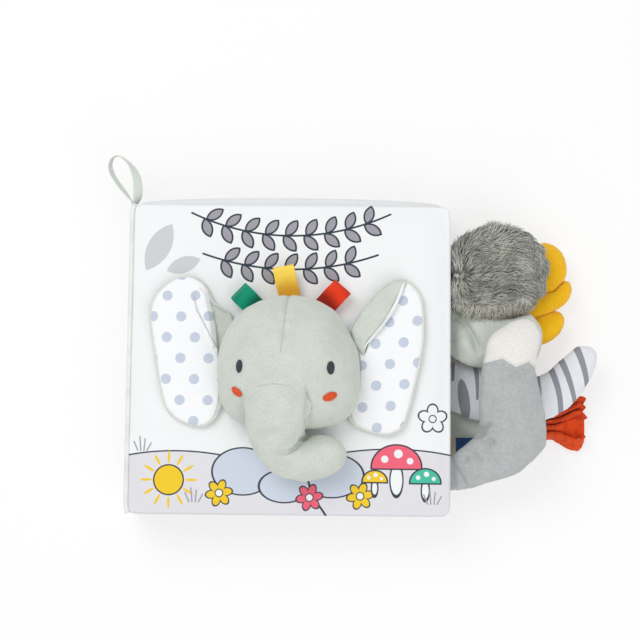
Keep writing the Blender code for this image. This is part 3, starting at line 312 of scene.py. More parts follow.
class Drawing:
    """A printed picture in plain shapes, drawn in millimetres on the page's X and Y."""

    def __init__(self, recipe: Recipe, ground: Paint) -> None:
        """Start on a ground colour."""
        self.recipe = recipe
        self.colour = ground
        flat = recipe.node("ShaderNodeCombineXYZ", {}, {0: recipe.x, 1: recipe.y, 2: 0.0})
        self.flat = flat.outputs[0]
        self.edge = 0.18

    def local(self, place: Spot, turn: float = 0.0,
              scale: Spot = (1.0, 1.0)) -> Socket:
        """Return coordinates about a shape's own middle."""
        made = self.recipe.node("ShaderNodeMapping", {"vector_type": "TEXTURE"}, {
            "Vector": self.flat, "Location": (*place, 0.0),
            "Rotation": (0.0, 0.0, math.radians(turn)), "Scale": (*scale, 1.0)})
        return made.outputs[0]

    def length(self, vector: Socket) -> Value:
        """Return a vector's length."""
        made = self.recipe.node("ShaderNodeVectorMath", {"operation": "LENGTH"}, {0: vector})
        return Value(self.recipe, made.outputs["Value"])

    def split(self, vector: Socket) -> tuple[Value, Value]:
        """Return a vector's first two numbers."""
        made = self.recipe.node("ShaderNodeSeparateXYZ", {}, {0: vector})
        return Value(self.recipe, made.outputs[0]), Value(self.recipe, made.outputs[1])

    def join(self, across: Value, along: Value) -> Socket:
        """Return a flat vector of two numbers."""
        made = self.recipe.node("ShaderNodeCombineXYZ", {}, {0: across, 1: along, 2: 0.0})
        return made.outputs[0]

    def disc(self, place: Spot, radius: float) -> Value:
        """Return the distance outside a disc."""
        return self.length(self.local(place)) - radius

    def oval(self, place: Spot, half: Spot,
             turn: float = 0.0) -> Value:
        """Return about the distance outside an oval."""
        return (self.length(self.local(place, turn, half)) - 1.0) * min(half)

    def lens(self, across: Value, along: Value, length: float, width: float) -> Value:
        """Return the distance outside a leaf shape about the given coordinates.

        Args:
            across: the coordinate along the leaf.
            along: the coordinate across it.
            length: the leaf's length.
            width: the leaf's width.

        Returns:
            The distance in millimetres.
        """
        radius = (length * length + width * width) / (4 * width)
        lowered = abs(along) + (radius - width / 2)
        return self.length(self.join(across, lowered)) - radius

    def leaf(self, place: Spot, length: float, width: float,
             turn: float) -> Value:
        """Return the distance outside a leaf shape at a place."""
        return self.lens(*self.split(self.local(place, turn)), length, width)

    def bar(self, start: Spot, end: Spot, radius: float) -> Value:
        """Return the distance outside a bar with round ends.

        Args:
            start: one end's middle.
            end: the other end's middle.
            radius: half the bar's width.

        Returns:
            The distance in millimetres.
        """
        middle = ((start[0] + end[0]) / 2, (start[1] + end[1]) / 2)
        turn = math.degrees(math.atan2(end[1] - start[1], end[0] - start[0]))
        half = math.dist(start, end) / 2
        along, aside = self.split(self.local(middle, turn))
        return self.length(self.join((abs(along) - half).most(0.0), aside)) - radius

    def petals(self, place: Spot, count: int, reach: float,
               half: Spot, turn: float = 0.0) -> Value:
        """Return the distance outside a ring of petals.

        Args:
            place: the flower's middle.
            count: how many petals.
            reach: how far out their middles lie.
            half: half a petal's length and width.
            turn: the flower's turn in degrees.

        Returns:
            The distance in millimetres.
        """
        own = self.local(place, turn)
        across, along = self.split(own)
        sector = 2 * math.pi / count
        angle = (along.math("ARCTAN2", across) + sector / 2) % sector - sector / 2
        far = self.length(own)
        out = (far * angle.cosine() - reach) / half[0]
        side = far * angle.sine() / half[1]
        return (self.length(self.join(out, side)) - 1.0) * min(half)

    def fill(self, distance: Value, colour: Paint) -> None:
        """Fill the inside of a shape."""
        mask = distance.fall(-self.edge, self.edge)
        self.colour = self.recipe.mix(mask, self.colour, colour)

    def line(self, distance: Value, colour: Paint, width: float) -> None:
        """Draw along the edge of a shape."""
        self.fill(abs(distance) - width / 2, colour)

    def outlined(self, distance: Value, colour: Paint, width: float = 0.8) -> None:
        """Fill a shape and draw its edge in the dark ink."""
        self.fill(distance, colour)
        self.line(distance, Dye.INK, width)


def weave(recipe: Recipe, pitch: float) -> Value:
    """Return a plain weave's height."""
    turn = 2 * math.pi / pitch
    over = ((recipe.x + recipe.z) * turn).sine() * ((recipe.y + recipe.z) * turn).sine()
    return over * 0.5 + 0.5


@dataclass(frozen=True)
class Finish:
    """A named finish, whose nodes its kinds paint."""

    name: str

    def make(self) -> bpy.types.Material:
        """Return the material."""
        recipe = Recipe(self.name)
        self.paint(recipe)
        return recipe.material


@dataclass(frozen=True)
class TwoTone(Finish):
    """A finish between a light and a darker tone."""

    light: Dye
    shade: Dye

    def tone(self, recipe: Recipe, share: Value) -> Paint:
        """Return the mix with a share of the darker tone."""
        return recipe.mix(share, self.light, self.shade)


@dataclass(frozen=True)
class Plush(TwoTone):
    """Short-pile plush: a soft nap in fine lines over lumpy stuffing."""

    nap_turn: float = 90.0
    nap: float = 0.32
    depth: float = 0.30
    patchy: float = 0.22
    # Sewn seams and painted fold shadows, both drawn as dark lines.
    lines: tuple[tuple[Spot, Spot, float], ...] = ()
    sheen: float = 0.25

    def paint(self, recipe: Recipe) -> None:
        """Make its nodes."""
        nap = recipe.cloud(self.nap, 2.0, 0.6, recipe.stretched(self.nap_turn, (0.25, 1.0, 0.6)))
        fibre = recipe.cloud(0.55, 3.0, 0.7)
        patch = recipe.cloud(9.0, 2.0)
        shade = ((nap * 0.55 + fibre * 0.45).fall(0.30, 0.62) * (0.97 - self.patchy)
                 + patch.rise(0.35, 0.75) * self.patchy)
        page = Drawing(recipe, self.ground(recipe, shade.least(1.0)))
        page.edge = 0.35
        relief = nap * 0.5 + fibre * 0.5
        # Each listed line is drawn in the darker tone with a groove: a sewn seam, or on the trunk's
        # curl a painted fold shadow.
        for start, end, width in self.lines:
            sewn = page.bar(start, end, width / 2)
            page.fill(sewn, self.shade)
            relief = relief - sewn.fall(-0.4, 0.5) * 1.2
        recipe.dress(page.colour, 0.9 + 0.1 * fibre)
        recipe.bump(relief, self.depth, 0.7)
        recipe.constant(Sheen_Weight=self.sheen, Sheen_Roughness=0.5, Specular_IOR_Level=0.15)

    def ground(self, recipe: Recipe, shade: Value) -> Paint:
        """Return the plush's colour before its sewn lines and painted fold shadows."""
        return self.tone(recipe, shade)


@dataclass(frozen=True)
class ZigzagPlush(Plush):
    """Plush in two colours that meet at a zigzag seam across the piece."""

    above: Dye = Dye.TIP
    above_shade: Dye = Dye.TIP_SHADE
    seam: tuple[Spot, ...] = ((106.0, -2.6), (117.4, 0.1), (125.0, -4.3), (132.1, -1.4),
                              (137.0, -4.9))

    def sides(self, x: "Value | float") -> list:
        """Return the heights of the seam's four straight stretches, drawn on past their ends."""
        return [(x - first[0]) * ((last[1] - first[1]) / (last[0] - first[0])) + first[1]
                for first, last in zip(self.seam, self.seam[1:])]

    def height(self, x: float) -> float:
        """Return the seam's place along Y, both in millimetres."""
        up, down, second_up, second_down = self.sides(x)
        return max(min(up, down), min(second_up, second_down))

    def ground(self, recipe: Recipe, shade: Value) -> Paint:
        """Return both colours on their sides of the seam."""
        up, down, second_up, second_down = self.sides(recipe.x)
        seam = up.least(down).most(second_up.least(second_down))
        beyond = (recipe.y - seam).rise(-0.15, 0.15)
        melange = recipe.cloud(1.7, 4.0, 0.7).rise(0.35, 0.7) * 0.35
        below = self.tone(recipe, (shade * 0.65 + melange).least(1.0))
        tip = recipe.mix(shade, self.above, self.above_shade)
        return recipe.mix(beyond, below, tip)


@dataclass(frozen=True)
class EarPlush(Plush):
    """The ears' backs: sage where they are sewn on, paler along the free edges."""

    side: float = 1.0
    reach: tuple[Spot, Spot] = ((52.0, 58.0), (62.0, 68.0))

    def ground(self, recipe: Recipe, shade: Value) -> Paint:
        """Return the sage and the paler edge."""
        low, high = self.reach[self.side > 0.0]
        near = (recipe.x * self.side).fall(low, high) * recipe.y.rise(-34.0, -28.0)
        sage = self.tone(recipe, shade)
        pale = recipe.mix(shade, Dye.PIPING, Dye.PIPING_SHADE)
        return recipe.mix(near, pale, sage)


@dataclass(frozen=True)
class PlainCloth(TwoTone):
    """Woven polyester cloth in one colour."""

    pitch: float = POLYESTER_PITCH

    def paint(self, recipe: Recipe) -> None:
        """Make its nodes."""
        finish_cloth(recipe, self.tone(recipe, recipe.cloud(14.0).rise(0.4, 0.8) * 0.5), self.pitch)


def finish_cloth(recipe: Recipe, colour: Paint, pitch: float) -> None:
    """Give a printed or plain cloth its weave.

    Args:
        recipe: the material.
        colour: the cloth's colour or print.
        pitch: the distance between threads, in millimetres.
    """
    threads = weave(recipe, pitch)
    slub = recipe.cloud(1.6, 3.0)
    worn = recipe.mix(threads * slub * 0.10, colour, Dye.PALE_GREY)
    recipe.dress(worn, 0.72 + 0.15 * slub)
    recipe.bump(threads * 0.5 + slub * 0.5, 0.10, 0.5)
    recipe.constant(Sheen_Weight=0.08, Specular_IOR_Level=0.25)


@dataclass(frozen=True)
class CoverPrint(Finish):
    """The front cover's print: two leafy garlands over hills with flowers and mushrooms."""

    garland_centre: Spot = (0.0, 196.0)
    garland_radii: Spot = (127.0, 146.0)
    garland_halves: Spot = (58.0, 50.0)
    leaf_pitch: float = 11.5

    def paint(self, recipe: Recipe) -> None:
        """Make its nodes."""
        page = Drawing(recipe, Dye.COVER)
        self.hills(page)
        self.sun(page)
        self.bushes(page)
        self.mushrooms(page)
        self.small_motifs(page)
        for radius, half in zip(self.garland_radii, self.garland_halves):
            self.garland(page, radius, half)
        finish_cloth(recipe, page.colour, POLYESTER_PITCH)

    def garland(self, page: Drawing, radius: float, half: float) -> None:
        """Draw one hanging garland of paired leaves.

        Args:
            page: the drawing.
            radius: the arc's radius.
            half: half the garland's width.
        """
        across, along = page.split(page.local(self.garland_centre))
        far = page.length(page.join(across, along))
        run = across.math("ARCTAN2", -along) * radius
        own = (run + self.leaf_pitch / 2) % self.leaf_pitch - self.leaf_pitch / 2
        aside = far - radius
        vine = page.length(page.join((abs(run) - half).most(0.0), aside)) - 0.55
        page.fill(vine, Dye.INK)
        cell = ((run + self.leaf_pitch / 2) / self.leaf_pitch).floor() * self.leaf_pitch
        inside = abs(cell) - (half - self.leaf_pitch * 0.5)
        for side in (1.0, -1.0):
            turn = math.radians(52.0 * side)
            out = own + 0.6 * side
            up = aside - 4.4 * side
            along_leaf = out * math.cos(turn) + up * math.sin(turn)
            across_leaf = up * math.cos(turn) - out * math.sin(turn)
            shape = page.lens(along_leaf, across_leaf, 10.6, 5.4).most(inside)
            page.fill(shape, Dye.GREY_PRINT)
            page.line(shape, Dye.INK, 1.0)

    def hills(self, page: Drawing) -> None:
        """Draw two overlapping hills."""
        page.outlined(page.oval((58.0, -112.0), (104.0, 62.0)), Dye.HILL)
        page.outlined(page.oval((-62.0, -104.0), (88.0, 52.0)), Dye.HILL)

    def sun(self, page: Drawing) -> None:
        """Draw a half sun with rays at the lower left."""
        place = (-66.0, -68.0)
        page.fill(page.petals(place, 12, 12.5, (3.4, 0.75)), Dye.YELLOW)
        page.outlined(page.disc(place, 8.2), Dye.YELLOW)

    def bushes(self, page: Drawing) -> None:
        """Draw rounded bushes with flowers at their feet."""
        for place, half in (((-25.0, -63.0), (17.0, 13.0)), ((24.0, -65.0), (18.0, 12.0)),
                            ((-2.0, -71.0), (14.0, 9.0))):
            page.outlined(page.oval(place, half), Dye.SKY)
        for place, dye in (((-38.0, -75.0), Dye.YELLOW), ((40.0, -76.0), Dye.YELLOW),
                           ((12.0, -77.0), Dye.CORAL)):
            page.outlined(page.petals(place, 6, 4.3, (3.2, 2.2), 10.0), dye, 0.6)
            page.outlined(page.disc(place, 2.1), Dye.COVER, 0.6)

    def mushrooms(self, page: Drawing) -> None:
        """Draw three mushrooms at the lower right."""
        for place, size, dye in (((60.0, -58.0), 1.0, Dye.CORAL), ((76.0, -67.0), 0.62, Dye.TEAL),
                                 ((48.0, -67.0), 0.5, Dye.YELLOW)):
            x, y = place
            stem = page.oval((x, y - 9.0 * size), (3.6 * size, 9.0 * size))
            page.outlined(stem, Dye.COVER)
            cap = page.oval((x, y - 2.0 * size), (14.0 * size, 12.5 * size))
            cap = cap.most((y - 3.0 * size) - page.recipe.y)
            page.fill(cap, dye)
            for spot_x, spot_y, radius in ((-6.5, 2.5, 2.0), (1.0, 5.5, 2.4), (7.5, 1.5, 1.8)):
                spot = page.disc((x + spot_x * size, y + spot_y * size), radius * size)
                page.fill(spot.most(cap), Dye.COVER)
            page.line(cap, Dye.INK, 0.8)

    def small_motifs(self, page: Drawing) -> None:
        """Draw loose leaves, a flower outline and grass blades."""
        page.fill(page.leaf((-74.0, 62.0), 30.0, 13.0, 62.0), Dye.PALE_GREY)
        page.fill(page.leaf((-60.0, 52.0), 20.0, 9.0, 20.0), Dye.PALE_GREY)
        flower = page.petals((80.0, -33.0), 5, 4.6, (3.6, 3.0), 18.0)
        page.outlined(flower, Dye.COVER, 0.8)
        page.outlined(page.disc((80.0, -33.0), 2.0), Dye.COVER, 0.6)
        for x, y in ((-52.0, -80.0), (-81.0, -52.0), (80.0, -80.0)):
            for aside, lean, length in ((-2.6, 2.2, 5.0), (-0.9, 0.6, 7.6), (0.9, -0.6, 6.4),
                                        (2.6, -2.4, 4.2)):
                foot = (x + aside, y)
                page.fill(page.bar(foot, (x + aside - lean, y + length), 0.38),
                          Dye.GREY_PRINT)


@dataclass(frozen=True)
class PagePrint(Finish):
    """A page's print: rows of small leaves and dots on a pale ground."""

    ground: Dye
    motif: Dye
    dot: Dye
    cell: float = 26.0

    def paint(self, recipe: Recipe) -> None:
        """Make its nodes."""
        page = Drawing(recipe, self.ground)
        row = ((recipe.y + self.cell / 2) / self.cell).floor()
        shifted = recipe.x + row * (self.cell / 2)
        across = shifted % self.cell - self.cell / 2
        along = recipe.y % self.cell - self.cell / 2
        turn = math.radians(38.0)
        run = across * math.cos(turn) + along * math.sin(turn)
        side = along * math.cos(turn) - across * math.sin(turn)
        leaf = page.lens(run, side, 13.0, 5.6)
        page.fill(leaf, self.motif)
        page.fill((abs(side) - 0.3).most(abs(run) - 5.0), Dye.COVER)
        spot = page.length(page.join(across - 8.5, along + 8.0)) - 1.6
        page.fill(spot, self.dot)
        hill = page.oval((20.0, -112.0), (130.0, 60.0))
        page.fill(hill, Dye.HILL)
        finish_cloth(recipe, page.colour, POLYESTER_PITCH)


@dataclass(frozen=True)
class DottedCotton(Finish):
    """White ear cotton with pale blue dots in staggered rows along the ear, and a painted shadow
    line along the left ear's fold.
    """

    start: Spot
    turn: float
    pitch: Spot = (15.6, 11.6)
    radius: float = 2.85
    lean: float = 0.0
    # Points of a painted shadow line along a fold.
    folds: tuple[Spot, ...] = ()

    def paint(self, recipe: Recipe) -> None:
        """Make its nodes."""
        page = Drawing(recipe, Dye.EAR_COTTON)
        across, along = page.split(page.local(self.start, self.turn))
        across_pitch, along_pitch = self.pitch
        across = across + along * self.lean
        row = (along / along_pitch + 0.5).floor()
        own_x = (across + row * (across_pitch / 2) + across_pitch / 2) % across_pitch
        own_y = (along + along_pitch / 2) % along_pitch
        middle = page.join(own_x - across_pitch / 2, own_y - along_pitch / 2)
        page.fill(page.length(middle) - self.radius, Dye.EAR_DOT)
        page.edge = 0.35
        # Painted shadow: a thin grey line along the fold.
        for low, high in zip(self.folds, self.folds[1:]):
            page.fill(page.bar(low, high, 0.22), Dye.FOLD_SHADOW)
        finish_cloth(recipe, page.colour, COTTON_PITCH)


@dataclass(frozen=True)
class ZebraCloth(Finish):
    """Pale cloth with bent stripes across it and one broad oval one."""

    stripes: tuple[tuple[Spot, Spot, float, Spot], ...]
    broad: tuple[Spot, Spot, float] = ((99.3, -21.0), (12.0, 3.1), -82.0)

    def paint(self, recipe: Recipe) -> None:
        """Make its nodes."""
        page = Drawing(recipe, Dye.ZEBRA)
        for start, end, bend, halves in self.stripes:
            page.fill(self.streak(page, start, end, bend, halves), Dye.ZEBRA_STRIPE)
        page.fill(page.oval(*self.broad), Dye.ZEBRA_STRIPE)
        finish_cloth(recipe, page.colour, COTTON_PITCH)

    def streak(self, page: Drawing, start: Spot, end: Spot, bend: float, halves: Spot) -> Value:
        """Return the distance outside a bent stripe.

        Args:
            page: the drawing.
            start: its top end.
            end: its low end.
            bend: how far its middle stands out to the right.
            halves: half its width at the top and at the low end.

        Returns:
            The distance in millimetres.
        """
        share = (page.recipe.y - start[1]) / (end[1] - start[1])
        middle = share * (end[0] - start[0]) + share * (1.0 - share) * (4.0 * bend) + start[0]
        half = share * (halves[1] - halves[0]) + halves[0]
        reach = (abs(share - 0.5) - 0.5) * abs(end[1] - start[1])
        return (abs(page.recipe.x - middle) - half).most(reach)


@dataclass(frozen=True)
class Satin(TwoTone):
    """Satin ribbon, whose threads run along it, with painted shade towards the seam that holds it
    and at its far end, and a painted highlight band between.
    """

    turn: float
    # middle and half place the painted highlight and the painted shade along the ribbon.
    middle: Spot
    half: float

    def paint(self, recipe: Recipe) -> None:
        """Make its nodes."""
        threads = recipe.cloud(0.5, 2.0, 0.5, recipe.stretched(-self.turn, (0.06, 1.6, 1.0)))
        page = Drawing(recipe, self.light)
        along, aside = page.split(page.local(self.middle, self.turn))
        # Painted shade: darker at the root by the seam and at the far end, which leaves a painted
        # highlight band across the middle.
        bent = along + (aside * aside) * 0.03
        root = bent.fall(-self.half, self.half * 0.25)
        tip = bent.rise(self.half * 0.55, self.half * 1.1)
        shade = (root * 0.85 + tip * 0.3 + threads * 0.15).least(1.0)
        recipe.dress(self.tone(recipe, shade), 0.30 + 0.12 * threads)
        recipe.bump(threads, 0.08, 0.5)
        recipe.constant(Specular_IOR_Level=0.25)


@dataclass(frozen=True)
class WovenRibbon(TwoTone):
    """Ribbed woven ribbon or label."""

    rib: float = 0.8
    roughness: float = 0.6
    edge: Dye | None = None
    edge_x: float = 0.0

    def paint(self, recipe: Recipe) -> None:
        """Make its nodes."""
        turn = 2 * math.pi / self.rib
        ribs = ((recipe.x + recipe.y) * turn).sine() * 0.5 + 0.5
        cross = ((recipe.x - recipe.y + recipe.z) * (turn * 0.7)).sine() * 0.5 + 0.5
        height = ribs * 0.6 + cross * 0.4
        patch = recipe.cloud(4.0)
        colour = self.tone(recipe, (1.0 - height) * 0.35 + patch * 0.25)
        if self.edge:
            colour = recipe.mix(recipe.x.fall(self.edge_x - 0.2, self.edge_x + 0.2), colour,
                                self.edge)
        recipe.dress(colour, self.roughness + 0.1 * patch)
        recipe.bump(height, 0.12, 0.6)
        recipe.constant(Specular_IOR_Level=0.35)


@dataclass(frozen=True)
class Felt(TwoTone):
    """Matted felt with loose fibres."""

    def paint(self, recipe: Recipe) -> None:
        """Make its nodes."""
        fibre = recipe.cloud(0.7, 4.0, 0.75)
        matted = recipe.cloud(3.5, 3.0, 0.6)
        shade = fibre.fall(0.3, 0.65) * 0.6 + matted.rise(0.45, 0.7) * 0.4
        recipe.dress(self.tone(recipe, shade), 0.92)
        recipe.bump(fibre * 0.6 + matted * 0.4, 0.35, 0.8)
        recipe.constant(Sheen_Weight=0.1, Sheen_Roughness=0.6, Specular_IOR_Level=0.1)


@dataclass(frozen=True)
class Stitching(TwoTone):
    """Satin stitch: close parallel threads with a soft gloss."""

    turn: float
    pitch: float = 0.45

    def paint(self, recipe: Recipe) -> None:
        """Make its nodes."""
        page = Drawing(recipe, self.light)
        across, _along = page.split(page.local((0.0, 0.0), self.turn))
        wander = recipe.cloud(2.0) * 0.5
        threads = ((across + wander) * (2 * math.pi / self.pitch)).sine() * 0.5 + 0.5
        recipe.dress(self.tone(recipe, threads.fall(0.0, 0.7)), 0.45 + 0.15 * threads)
        recipe.bump(threads, 0.15, 0.8)
        recipe.constant(Sheen_Weight=0.1, Specular_IOR_Level=0.4)


@dataclass(frozen=True)
class FauxFur(Finish):
    """Faux fur in mixed greys, lighter at its tips."""

    def paint(self, recipe: Recipe) -> None:
        """Make its nodes."""
        patch = recipe.cloud(7.0, 3.0, 0.6)
        strand = recipe.cloud(0.9, 3.0, 0.7)
        base = recipe.mix(patch.rise(0.38, 0.66), Dye.FUR_MIDDLE, Dye.FUR_LIGHT)
        recipe.dress(recipe.mix(strand.fall(0.30, 0.62), base, Dye.FUR_DARK), 0.85)
        recipe.bump(strand, 0.4, 0.8)
        recipe.constant(Sheen_Weight=0.3, Sheen_Roughness=0.4, Specular_IOR_Level=0.2)


@dataclass(frozen=True)
class FurLocks(Finish):
    """The locks of the faux fur: dark at the root, light at the end, in mixed tones."""

    def paint(self, recipe: Recipe) -> None:
        """Make its nodes."""
        end, tone = (Value(recipe, recipe.node("ShaderNodeAttribute",
                                               {"attribute_name": title}, {}).outputs["Fac"])
                     for title in ("lock_end", "lock_tone"))
        strand = recipe.cloud(0.35, 2.0, 0.6)
        warm = recipe.cloud(13.0, 1.0).rise(0.5, 0.7) * 0.5
        light = recipe.mix(warm.most(tone.rise(0.85, 1.1)), Dye.FUR_LIGHT,
                           Dye.FUR_BEIGE)
        middle = recipe.mix(tone.rise(0.15, 0.75), Dye.FUR_MIDDLE, light)
        rooted = (end.fall(0.0, 0.6) + strand.fall(0.35, 0.6) * 0.2).least(1.0)
        recipe.dress(recipe.mix(rooted * (1.0 - tone.rise(0.8, 1.1) * 0.5), middle,
                                Dye.FUR_DARK), 0.8)
        recipe.bump(strand, 0.1, 0.5)
        recipe.constant(Sheen_Weight=0.2, Sheen_Roughness=0.4, Specular_IOR_Level=0.25)


@dataclass(frozen=True)
class Filling(TwoTone):
    """What is inside the cloths: crackly film or soft wadding."""

    crumple: float
    roughness: float

    def paint(self, recipe: Recipe) -> None:
        """Make its nodes."""
        made = recipe.node("ShaderNodeTexVoronoi", {"feature": "DISTANCE_TO_EDGE"}, {
            "Vector": recipe.place, "Scale": 1 / self.crumple})
        folds = Value(recipe, made.outputs["Distance"]).rise(0.0, 0.5)
        fluff = recipe.cloud(self.crumple / 3, 4.0, 0.7)
        height = folds * 0.6 + fluff * 0.4
        recipe.dress(recipe.mix(height, self.shade, self.light), self.roughness)
        recipe.bump(height, 0.6, 0.8)
        recipe.constant(Specular_IOR_Level=0.4)


class Wardrobe:
    """All finishes, each made the first time that it is asked for."""

    def __init__(self) -> None:
        """Start with no material made."""
        self.made: dict[str, bpy.types.Material] = {}

    def get(self, finish: Finish) -> bpy.types.Material:
        """Return the material of a finish."""
        if finish.name not in self.made:
            self.made[finish.name] = finish.make()
        return self.made[finish.name]


WARDROBE = Wardrobe()


# Work on one mesh at a time


def deselect() -> None:
    """Deselect everything."""
    for item in bpy.context.view_layer.objects:
        item.select_set(False)


def take(piece: Piece) -> Piece:
    """Select one object alone and make it the active one."""
    deselect()
    piece.hide_set(False)
    piece.select_set(True)
    bpy.context.view_layer.objects.active = piece
    return piece


def edit(piece: Piece, *steps: Callable[[], object]) -> None:
    """Run steps on a whole mesh in edit mode.

    Args:
        piece: the object.
        steps: calls of edit mode operators, each with everything selected first.
    """
    take(piece)
    bpy.ops.object.mode_set(mode="EDIT")
    for step in steps:
        bpy.ops.mesh.select_all(action="SELECT")
        step()
    bpy.ops.object.mode_set(mode="OBJECT")


def apply_modifiers(piece: Piece) -> None:
    """Apply all modifiers of an object, in their order."""
    take(piece)
    for modifier in list(piece.modifiers):
        bpy.ops.object.modifier_apply(modifier=modifier.name)


def placed(name: str, data: bpy.types.ID) -> Piece:
    """Put a new object into the scene."""
    piece = bpy.data.objects.new(name, data)
    bpy.context.scene.collection.objects.link(piece)
    return piece


def merged(pieces: Sequence[Piece]) -> Piece:
    """Join objects into the first one."""
    first = take(pieces[0])
    for other in pieces[1:]:
        other.select_set(True)
    if len(pieces) > 1:
        bpy.ops.object.join()
    return first


def copy_node(name: str, *nodes: str) -> Piece:
    """Copy the meshes of CAD nodes into one new object and merge their loose points.

    Args:
        name: the new piece's name.
        nodes: the nodes to copy.

    Returns:
        The new object.
    """
    first = merged([placed(name, frame["nodes"][node].data.copy()) for node in nodes])
    first.data.materials.clear()
    edit(first, lambda: bpy.ops.mesh.remove_doubles(threshold=WELD))
    return first


def remesh(piece: Piece, voxel: float) -> None:
    """Rebuild a mesh in even quads of a size in millimetres."""
    modifier = piece.modifiers.new("even", "REMESH")
    modifier.mode = "VOXEL"
    modifier.voxel_size = voxel * MM
    apply_modifiers(piece)


def relax(piece: Piece, factor: float, rounds: int) -> None:
    """Smooth a mesh."""
    modifier = piece.modifiers.new("relax", "SMOOTH")
    modifier.factor = factor
    modifier.iterations = rounds
    apply_modifiers(piece)


def refine(piece: Piece, levels: int = 1) -> None:
    """Subdivide a mesh smoothly."""
    modifier = piece.modifiers.new("refine", "SUBSURF")
    modifier.levels = levels
    modifier.render_levels = levels
    apply_modifiers(piece)


def shape(piece: Piece, mover: Mover, *settings: object) -> None:
    """Move every point of a mesh.

    Args:
        piece: the object.
        mover: takes the settings, a point's place and its normal, and gives its new place.
        settings: what the mover takes first.
    """
    mesh = piece.data
    normals = [item.vector.copy() for item in mesh.vertex_normals]
    for vertex, normal in zip(mesh.vertices, normals):
        vertex.co = mover(*settings, vertex.co.copy(), normal)
    mesh.update()


@dataclass(frozen=True)
class Crease:
    """A sewn line or a fold seen from above: a groove along a straight stretch, in mm."""

    start: Spot
    end: Spot
    width: float
    depth: float

    def sink(self, place: Vector) -> float:
        """Return how deep the groove is at a place, in metres."""
        start = Vector((*self.start, 0.0)) * MM
        run = Vector((*self.end, 0.0)) * MM - start
        flat = Vector((place.x, place.y, 0.0)) - start
        share = clamp(flat.dot(run) / run.length_squared)
        apart = (flat - run * share).length / (self.width * MM)
        fade = math.sin(math.pi * (0.10 + 0.80 * share))
        return self.depth * MM * math.exp(-apart * apart) * fade


def creased(creases: Sequence[Crease], lumps: float = 0.0, lump_size: float = 12.0,
            rise: float = 0.0) -> Mover:
    """Return a mover that sinks creases into a skin and makes its stuffing lumpy.

    Args:
        creases: the grooves.
        lumps: the height of the lumps, in millimetres.
        lump_size: their size, in millimetres.
        rise: how far the whole skin stands out, in millimetres.

    Returns:
        The mover.
    """
    def mover(place: Vector, normal: Vector) -> Vector:
        """Move one point."""
        lump = noise.noise(place / (lump_size * MM)) * lumps + rise
        sink = sum(crease.sink(place) for crease in creases) if normal.z > 0.0 else 0.0
        return place + normal * (lump * MM - sink)
    return mover


def tree_of(piece: Piece) -> BVHTree:
    """Return a tree of a piece's faces, for finding the nearest place on it."""
    return BVHTree.FromObject(piece, bpy.context.evaluated_depsgraph_get())


def clamp(share: float) -> float:
    """Keep a number between 0 and 1."""
    return min(max(share, 0.0), 1.0)


def bell(at: float, middle: float, width: float) -> float:
    """Return 1 at a middle, falling off softly over a width on both sides."""
    return math.exp(-((at - middle) / width) ** 2)


def soft_step(low: float, high: float, at: float) -> float:
    """Go softly from 0 at low to 1 at high, which may be the smaller of the two."""
    share = clamp((at - low) / (high - low))
    return share * share * (3.0 - 2.0 * share)


def tube(name: str, route: Sequence[tuple[float, float, float]],
         radii: Sequence[float]) -> Piece:
    """Make a closed tube along a route.

    Args:
        name: the piece's name.
        route: the points that it follows, in millimetres.
        radii: its radius at each, in millimetres.

    Returns:
        The object.
    """
    deselect()
    bpy.ops.curve.primitive_nurbs_path_add(location=(0.0, 0.0, 0.0))
    curve = bpy.context.active_object
    data = curve.data
    data.splines.clear()
    spline = data.splines.new("NURBS")
    spline.points.add(len(route) - 1)
    for point, place, radius in zip(spline.points, route, radii):
        point.co = (*(c * MM for c in place), 1.0)
        point.radius = radius
    spline.use_endpoint_u = True
    spline.order_u = 3
    data.dimensions = "3D"
    data.bevel_depth = MM
    data.bevel_resolution = 3
    data.use_fill_caps = True
    take(curve)
    bpy.ops.object.convert(target="MESH")
    piece = bpy.context.active_object
    piece.name = name
    edit(piece, lambda: bpy.ops.mesh.remove_doubles(threshold=WELD),
         lambda: bpy.ops.mesh.normals_make_consistent(inside=False))
    return piece


def finish_piece(piece: Piece, body: str | None, nodes: Sequence[str], slot: str,
                 finish: Finish) -> Piece:
    """Give a finished mesh its material and its place in the model.

    Args:
        piece: the object.
        body: the body that it rides on, or None when it bends between two.
        nodes: the CAD nodes that it stands for.
        slot: the record's material slot; not used.
        finish: its finish.

    Returns:
        The object.
    """
    piece.data.materials.clear()
    piece.data.materials.append(WARDROBE.get(finish))
    take(piece)
    bpy.ops.object.shade_smooth()
    if body:
        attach(piece, body)
    if nodes:
        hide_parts(*nodes)
    LOG.info("%s: %d faces", piece.name, len(piece.data.polygons))
    return piece


def rounded(name: str, nodes: Sequence[str], voxel: float, rounds: int) -> Piece:
    """Copy CAD nodes into one smoothed skin whose even faces are voxel millimetres."""
    piece = copy_node(name, *nodes)
    remesh(piece, voxel)
    relax(piece, 0.5, rounds)
    return piece


def plush_form(name: str, nodes: Sequence[str], voxel: float, rounds: int,
               mover: Mover) -> Piece:
    """Make a stuffed skin from CAD solids.

    Args:
        name: the piece's name.
        nodes: the solids.
        voxel: the size of the even faces, in millimetres.
        rounds: how often the skin is smoothed.
        mover: shapes its seams and creases.

    Returns:
        The object.
    """
    piece = rounded(name, nodes, voxel, rounds)
    refine(piece)
    shape(piece, mover)
    return piece


# The book's own pieces


